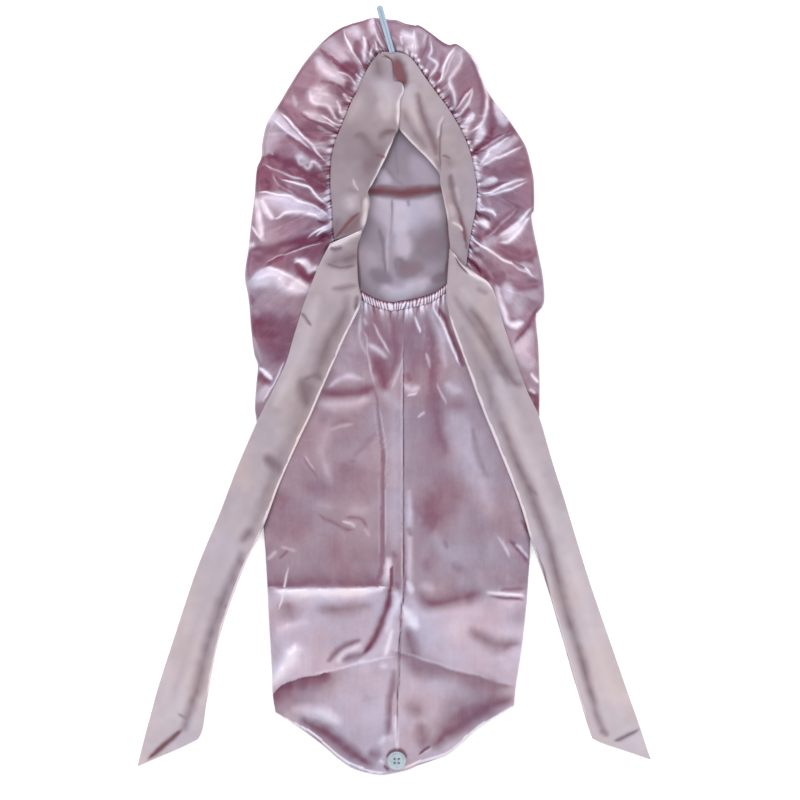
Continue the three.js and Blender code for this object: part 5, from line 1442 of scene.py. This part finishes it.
def toned_colour(tree, shader, hexes, cloud_size, cloud_share, casts=("FFFFFF", "FFFFFF")):
    """Base colour from the cloth's tone attribute, which paints shade and highlight along the ramp of
    colours, clouded, and drifting between two colour casts.
    """
    where = add_node(tree, "ShaderNodeTexCoord")
    cloud = add_node(tree, "ShaderNodeTexNoise",
                     {"Vector": where.outputs["Object"], "Scale": per_metre(cloud_size), "Detail": 4.0})
    tone = add_node(tree, "ShaderNodeAttribute", attribute_name="tone")
    lift = add_node(tree, "ShaderNodeMath", {0: cloud.outputs[0], 1: cloud_share}, operation="MULTIPLY")
    half = add_node(tree, "ShaderNodeMath", {0: tone.outputs["Fac"], 1: 0.5, 2: 0.5 - cloud_share / 2},
                    operation="MULTIPLY_ADD")
    place = add_node(tree, "ShaderNodeMath", {0: half.outputs[0], 1: lift.outputs[0]}, operation="ADD")
    made = add_node(tree, "ShaderNodeValToRGB", {"Fac": place.outputs[0]})
    while len(made.color_ramp.elements) < len(hexes):
        made.color_ramp.elements.new(0.5)
    for index, (element, value) in enumerate(zip(made.color_ramp.elements, hexes)):
        element.position = index / (len(hexes) - 1)
        element.color = colour(value)
    drift = add_node(tree, "ShaderNodeTexNoise",
                     {"Vector": where.outputs["Object"], "Scale": per_metre(COLOUR_DRIFT), "Detail": 3.0})
    cast = add_node(tree, "ShaderNodeValToRGB", {"Fac": drift.outputs[0]})
    for element, place, value in zip(cast.color_ramp.elements, CAST_RANGE, casts):
        element.position = place
        element.color = colour(value)
    dyed = add_node(tree, "ShaderNodeMix", {6: made.outputs[0], 7: cast.outputs[0]},
                    data_type="RGBA", blend_type="MULTIPLY")
    dyed.inputs[0].default_value = 1.0
    tree.links.new(dyed.outputs[2], shader.inputs["Base Color"])
    return where


def satin_face():
    """Polyester satin, face side: its long float threads give a light metal-like gloss; the white on the
    crests and the deep colour in the folds are painted highlight and painted shade from the tone.
    """
    colours = bpy.context.scene.bonnet_colours
    material, tree, shader = new_material("polyester_satin_face")
    hexes = [colours.satin_deepest, colours.satin_deep, colours.satin, colours.satin_light,
             colours.satin_bright]
    where = toned_colour(tree, shader, hexes, SATIN_CLOUDS, 0.08, ("FFF4F2", "F4F9FF"))
    shader.inputs["Metallic"].default_value = 0.18
    shader.inputs["Roughness"].default_value = 0.32
    shader.inputs["Specular IOR Level"].default_value = 0.5
    thread = add_node(tree, "ShaderNodeTexNoise",
                      {"Vector": where.outputs["Object"], "Scale": per_metre(SATIN_THREADS), "Detail": 2.0})
    bump = add_node(tree, "ShaderNodeBump",
                    {"Height": thread.outputs[0], "Strength": 0.1, "Distance": 0.0004})
    tree.links.new(bump.outputs[0], shader.inputs["Normal"])
    return material


def satin_wrong_side():
    """The same satin from behind, matte and greyer, because the floats are on the other face."""
    colours = bpy.context.scene.bonnet_colours
    material, tree, shader = new_material("polyester_satin_wrong_side")
    # Its ramp's deep and light colours are painted shade and painted light
    hexes = [colours.inside_deepest, colours.inside_deep, colours.inside, colours.inside_light]
    toned_colour(tree, shader, hexes, WRONG_SIDE_CLOUDS, 0.06, ("FFF8F6", "F6F8FF"))
    shader.inputs["Roughness"].default_value = 0.6
    shader.inputs["Sheen Weight"].default_value = 0.15
    return material


def band_cloth():
    """The band and ties: the satin sewn wrong side out, soft and nearly matte."""
    colours = bpy.context.scene.bonnet_colours
    material, tree, shader = new_material("brushed_satin_band")
    # The ramp's deep and bright colours are painted shade and painted highlight, the bright one on the
    # folded edges
    hexes = [colours.band_deepest, colours.band_deep, colours.band, colours.band_light, colours.band_bright]
    where = toned_colour(tree, shader, hexes, BAND_CLOUDS, 0.07, ("FFF7F3", "F7F5FB"))
    shader.inputs["Roughness"].default_value = 0.62
    shader.inputs["Sheen Weight"].default_value = 0.2
    thread = add_node(tree, "ShaderNodeTexNoise",
                      {"Vector": where.outputs["Object"], "Scale": per_metre(BAND_THREADS), "Detail": 2.0})
    bump = add_node(tree, "ShaderNodeBump",
                    {"Height": thread.outputs[0], "Strength": 0.15, "Distance": 0.0003})
    tree.links.new(bump.outputs[0], shader.inputs["Normal"])
    return material


def knitted_elastic():
    """Polyester-covered elastic cord: a fine pale knit with little gloss."""
    colours = bpy.context.scene.bonnet_colours
    material, tree, shader = new_material("knitted_polyester_elastic")
    # Deep and light cord colours are painted shade and painted highlight on the knit
    toned_colour(tree, shader, [colours.cord_deep, colours.cord, colours.cord_light], KNIT_CLOUDS, 0.1)
    shader.inputs["Roughness"].default_value = 0.5
    return material


def pearl_plastic():
    """Cast polyester button plastic: pale, with a faint cloudy pearl and a soft moulded gloss."""
    colours = bpy.context.scene.bonnet_colours
    material, tree, shader = new_material("cast_polyester_button")
    where = add_node(tree, "ShaderNodeTexCoord")
    cloud = add_node(tree, "ShaderNodeTexNoise",
                     {"Vector": where.outputs["Object"], "Scale": per_metre(BUTTON_CLOUDS), "Detail": 3.0})
    made = add_node(tree, "ShaderNodeValToRGB", {"Fac": cloud.outputs[0]})
    made.color_ramp.elements[0].position = 0.3
    made.color_ramp.elements[0].color = colour(colours.button_deep)
    made.color_ramp.elements[1].position = 0.7
    made.color_ramp.elements[1].color = colour(colours.button)
    tree.links.new(made.outputs[0], shader.inputs["Base Color"])
    shader.inputs["Roughness"].default_value = 0.28
    shader.inputs["IOR"].default_value = 1.55
    return material


def lit_paper():
    """White paper on a light table: the glow washes the shadows out of the background."""
    material, tree, shader = new_material("light_table_paper")
    shader.inputs["Base Color"].default_value = colour("FFFFFF")
    shader.inputs["Roughness"].default_value = 0.9
    shader.inputs["Emission Color"].default_value = colour("FFFFFF")
    shader.inputs["Emission Strength"].default_value = PAPER_GLOW
    return material


def size_property(name, description, default):
    """A length in metres for the panel."""
    return bpy.props.FloatProperty(name=name, description=description, default=default, unit="LENGTH")


def colour_property(name, description, default):
    """A colour for the panel, written as sRGB hex."""
    return bpy.props.StringProperty(name=name, description=description + ", sRGB hex", default=default)


class BonnetSizes(bpy.types.PropertyGroup):
    """The bonnet's main sizes, in metres."""
    crown_loft: size_property("Crown loft", "Height of the puffed crown", 0.024)
    tail_loft: size_property("Tail loft", "Height of the long tail", 0.0105)
    crown_edge: size_property("Crown edge", "Edge radius of the crown", 0.0042)
    tail_edge: size_property("Tail edge", "Edge radius of the tail", 0.0017)
    seam_height: size_property("Seam height", "Height of the band seam at the top", 0.014)
    nape_height: size_property("Nape height", "Height of the band seam at the nape", 0.011)
    band_drop: size_property("Band drop", "Fall of the band to its inner edge", 0.0032)
    band_thickness: size_property("Band thickness", "Thickness of the doubled band", 0.0018)
    tie_thickness: size_property("Tie thickness", "Thickness of the ties", 0.0018)
    casing_height: size_property("Casing height", "Height of the nape casing", 0.0052)
    casing_pitch: size_property("Casing pitch", "Spacing of the casing's puckers", 0.0031)
    button_width: size_property("Button width", "Diameter of the button", 0.017)
    hole_width: size_property("Hole width", "Diameter of the button's holes", 0.0022)
    hole_spacing: size_property("Hole spacing", "Spacing of the button's holes", 0.0038)
    cord_width: size_property("Cord width", "Width of each strand of the loop", 0.003)
    cord_thickness: size_property("Cord thickness", "Thickness of the loop's strands", 0.0014)


class BonnetColours(bpy.types.PropertyGroup):
    """The colours of the bonnet's cloths, cord and button. The deepest, deep, light and bright colours of
    the cloths and the cord are painted shade and painted highlight, picked by the tone.
    """
    satin_deepest: colour_property("Satin, deepest", "Satin in the deepest folds", "74304F")
    satin_deep: colour_property("Satin, deep", "Satin in the folds", "8A6479")
    satin: colour_property("Satin", "Satin at rest", "AC99A8")
    satin_light: colour_property("Satin, light", "Satin on the swells", "D4C6D9")
    satin_bright: colour_property("Satin, bright", "Satin on the crests", "F8EFFB")
    inside_deepest: colour_property("Inside, deepest", "Wrong side in the deepest fold", "804C58")
    inside_deep: colour_property("Inside, deep", "Wrong side in the folds", "857886")
    inside: colour_property("Inside", "Wrong side at rest", "B2A8BA")
    inside_light: colour_property("Inside, light", "Wrong side on the swells", "E0D9E9")
    band_deepest: colour_property("Band, deepest", "Band in the deepest folds", "7C4A52")
    band_deep: colour_property("Band, deep", "Band in its dents", "84727A")
    band: colour_property("Band", "Band and ties at rest", "A99CA5")
    band_light: colour_property("Band, light", "Band and ties on the swells", "CDC3CA")
    band_bright: colour_property("Band, bright", "Folded edges of the band and ties", "EDE1E7")
    cord_deep: colour_property("Cord, deep", "Elastic cord between its knit ribs", "7F95B0")
    cord: colour_property("Cord", "Elastic cord", "A9BBD0")
    cord_light: colour_property("Cord, light", "Elastic cord on its knit ribs", "CFDCE8")
    button: colour_property("Button", "Button plastic", "C3D0D9")
    button_deep: colour_property("Button, deep", "Button plastic in its cloudy parts", "A9BAC6")


class BONNET_OT_satin(bpy.types.Operator):
    """Models the satin pouch: crown, tail panels and back."""
    bl_idname = "bonnet.satin"
    bl_label = "Satin pouch"

    def execute(self, context):
        face, wrong = satin_face(), satin_wrong_side()
        for name, seam, rim, marks, start, node in (
                ("crown_cloth_left", SEAM_LEFT, EDGE_LEFT, CROWN_LEFT + TAIL, 0, "crown_left"),
                ("crown_cloth_right", SEAM_RIGHT, EDGE_RIGHT, CROWN_RIGHT + TAIL, 500, "crown_right")):
            crown, points = satin_crown(name, seam, rim, marks, start)
            CLOTH_TOP.add(points)
            finish_piece(crown, [face, wrong], "satin", node)
            thicken(crown, SATIN_WALL)
        for name, side_points, hem, corner, right, node in (
                ("tail_cloth_left", SIDE_LEFT, HEM_LEFT, NAPE[0], False, "tail_left"),
                ("tail_cloth_right", SIDE_RIGHT, HEM_RIGHT, NAPE[-1], True, "tail_right")):
            panel, points = tail_panel(name, side_points, hem, corner, right)
            CLOTH_TOP.add(points)
            finish_piece(panel, [face, wrong], "satin", node)
            thicken(panel, SATIN_WALL)
        back, points = back_layer()
        finish_piece(back, [wrong, face], "satin", "satin_back")
        thicken(back, BACK_WALL)
        return {"FINISHED"}


class BONNET_OT_band(bpy.types.Operator):
    """Models the two halves of the doubled face band."""
    bl_idname = "bonnet.band"
    bl_label = "Face band"

    def execute(self, context):
        cloth = band_cloth()
        thickness = context.scene.bonnet_sizes.band_thickness / MM
        # Each half is painted lighter towards its top, and the left half is darkened by a painted shade
        for name, edges, side, marks, shade in (
                ("band_half_left", BAND_LEFT, "left", BAND_LEFT_MARKS, 0.15),
                ("band_half_right", BAND_RIGHT, "right", BAND_RIGHT_MARKS, 0.0)):
            piece, points = double_cloth(name, edges, 60, 210, thickness, band_lift(side), marks,
                                         lambda y: 0.12 * smooth(y, 200, 300) - shade)
            CLOTH_TOP.add(points)
            finish_piece(piece, [cloth], "band_cloth", "face_band")
        CLOTH_TOP.settle()
        return {"FINISHED"}


class BONNET_OT_ties(bpy.types.Operator):
    """Models the two long ties, laid over the cloth and on the surface."""
    bl_idname = "bonnet.ties"
    bl_label = "Ties"

    def execute(self, context):
        cloth = band_cloth()
        thickness = context.scene.bonnet_sizes.tie_thickness / MM
        for name, edges, marks, node in (("tie_cloth_left", TIE_LEFT, TIE_LEFT_MARKS, "tie_left"),
                                         ("tie_cloth_right", TIE_RIGHT, TIE_RIGHT_MARKS, "tie_right")):
            # The ties are painted lighter towards their lower ends
            piece, _ = double_cloth(name, edges, 42, 370, thickness,
                                    lambda points, share: CLOTH_TOP.at(points) + TIE_GAP, marks,
                                    lambda y: 0.1 + 0.25 * smooth(-y, -60, 300))
            finish_piece(piece, [cloth], "band_cloth", node)
        return {"FINISHED"}


class BONNET_OT_nape(bpy.types.Operator):
    """Models the gathered casing at the nape."""
    bl_idname = "bonnet.nape"
    bl_label = "Nape casing"

    def execute(self, context):
        finish_piece(nape_casing(), [satin_face()], "satin", "nape_casing")
        return {"FINISHED"}


class BONNET_OT_loop(bpy.types.Operator):
    """Models the elastic loop at the top, its two strands lying side by side."""
    bl_idname = "bonnet.loop"
    bl_label = "Elastic loop"

    def execute(self, context):
        sizes = context.scene.bonnet_sizes
        foot = chart(LOOP_FOOT)
        tip = chart(LOOP_TIP)
        way = (tip - foot) / np.linalg.norm(tip - foot)
        across = np.array([way[1], -way[0]])
        share = np.linspace(0, 1, 60)
        strand = sizes.cord_width / MM * (0.8 + 0.2 * share)
        apart = 0.5 * strand
        left = foot + np.outer(share, tip - foot) - apart[:, None] * across
        right = foot + np.outer(share, tip - foot) + apart[:, None] * across
        turn = np.linspace(0, np.pi, 16)[1:-1]
        bend = tip - apart[-1] * (np.outer(np.cos(turn), across) - 0.9 * np.outer(np.sin(turn), way))
        flat = np.vstack([left, bend, right[::-1]])
        along = (flat - foot) @ way
        # The cord lies on the cloth, evened out over a few points on each side
        order = np.argsort(along)
        rests = CLOTH_TOP.at(np.stack([flat[:, 0], np.minimum(flat[:, 1], LAST_CLOTH)], -1))
        few = 6
        window = np.ones(2 * few + 1) / (2 * few + 1)
        rests = np.convolve(np.pad(rests[order], few, mode="edge"), window, mode="valid")
        rests = np.interp(along, along[order], rests)
        path = np.column_stack([flat, rests + sizes.cord_thickness / MM / 2 - 0.3])
        widths = np.r_[strand, np.full(len(bend), strand[-1]), strand[::-1]]
        loop = flat_cord("elastic_loop_cord", path, widths, sizes.cord_thickness / MM, 0.16)
        finish_piece(loop, [knitted_elastic()], "elastic_cord", "button_loop")
        return {"FINISHED"}


class BONNET_OT_button(bpy.types.Operator):
    """Models the four-hole button at the tip of the tail and the stitches that hold it."""
    bl_idname = "bonnet.button"
    bl_label = "Button"

    def execute(self, context):
        finish_piece(stitched_button(), [pearl_plastic()], "button_plastic", "button")
        finish_piece(button_stitches(), [knitted_elastic()], "thread", "button_thread")
        return {"FINISHED"}


class BONNET_OT_stage(bpy.types.Operator):
    """Lays the pale floor and sets the lights and the camera."""
    bl_idname = "bonnet.stage"
    bl_label = "Stage"

    def execute(self, context):
        bpy.ops.object.select_all(action="DESELECT")
        bpy.ops.mesh.primitive_plane_add(size=FLOOR_WIDTH, location=(0, 0, FLOOR_LEVEL))
        floor = bpy.context.object
        floor.name = "floor"
        floor.data.materials.append(lit_paper())
        context.scene.view_settings.view_transform = "Standard"
        world = bpy.data.worlds.new("studio")
        context.scene.world = world
        world.use_nodes = True
        background = world.node_tree.nodes["Background"]
        background.inputs["Color"].default_value = (1, 1, 1, 1)
        background.inputs["Strength"].default_value = ROOM_LIGHT
        for name, (place, size, power) in LAMPS.items():
            bpy.ops.object.light_add(type="AREA", location=place)
            lamp = bpy.context.object
            lamp.name = name
            lamp.data.shape = "RECTANGLE"
            lamp.data.size, lamp.data.size_y = size
            lamp.data.energy = power
            lamp.rotation_euler = (-lamp.location).to_track_quat("-Z", "Y").to_euler()
        bpy.ops.object.camera_add(location=CAMERA_PLACE, rotation=(0, 0, 0))
        camera = bpy.context.object
        camera.data.lens = CAMERA_SENSOR * CAMERA_DISTANCE / PICTURE_WIDTH
        context.scene.camera = camera
        return {"FINISHED"}


class BONNET_PT_panel(bpy.types.Panel):
    """One button for each step, in the sidebar."""
    bl_idname = "BONNET_PT_panel"
    bl_label = "Sleep bonnet"
    bl_space_type = "VIEW_3D"
    bl_region_type = "UI"
    bl_category = "Bonnet"

    def draw(self, context):
        for step in STEPS:
            self.layout.operator(step.bl_idname)


STEPS = (BONNET_OT_satin, BONNET_OT_band, BONNET_OT_ties, BONNET_OT_nape, BONNET_OT_loop,
         BONNET_OT_button, BONNET_OT_stage)
CLASSES = (BonnetSizes, BonnetColours, *STEPS, BONNET_PT_panel)


def register():
    """Adds the panel, its steps and its values."""
    for each in CLASSES:
        bpy.utils.register_class(each)
    bpy.types.Scene.bonnet_sizes = bpy.props.PointerProperty(type=BonnetSizes)
    bpy.types.Scene.bonnet_colours = bpy.props.PointerProperty(type=BonnetColours)


def unregister():
    """Takes them away again."""
    del bpy.types.Scene.bonnet_sizes
    del bpy.types.Scene.bonnet_colours
    for each in reversed(CLASSES):
        bpy.utils.unregister_class(each)


def main():
    """Runs every step."""
    register()
    for step in STEPS:
        group, action = step.bl_idname.split(".")
        getattr(getattr(bpy.ops, group), action)()


if __name__ == "__main__":
    main()
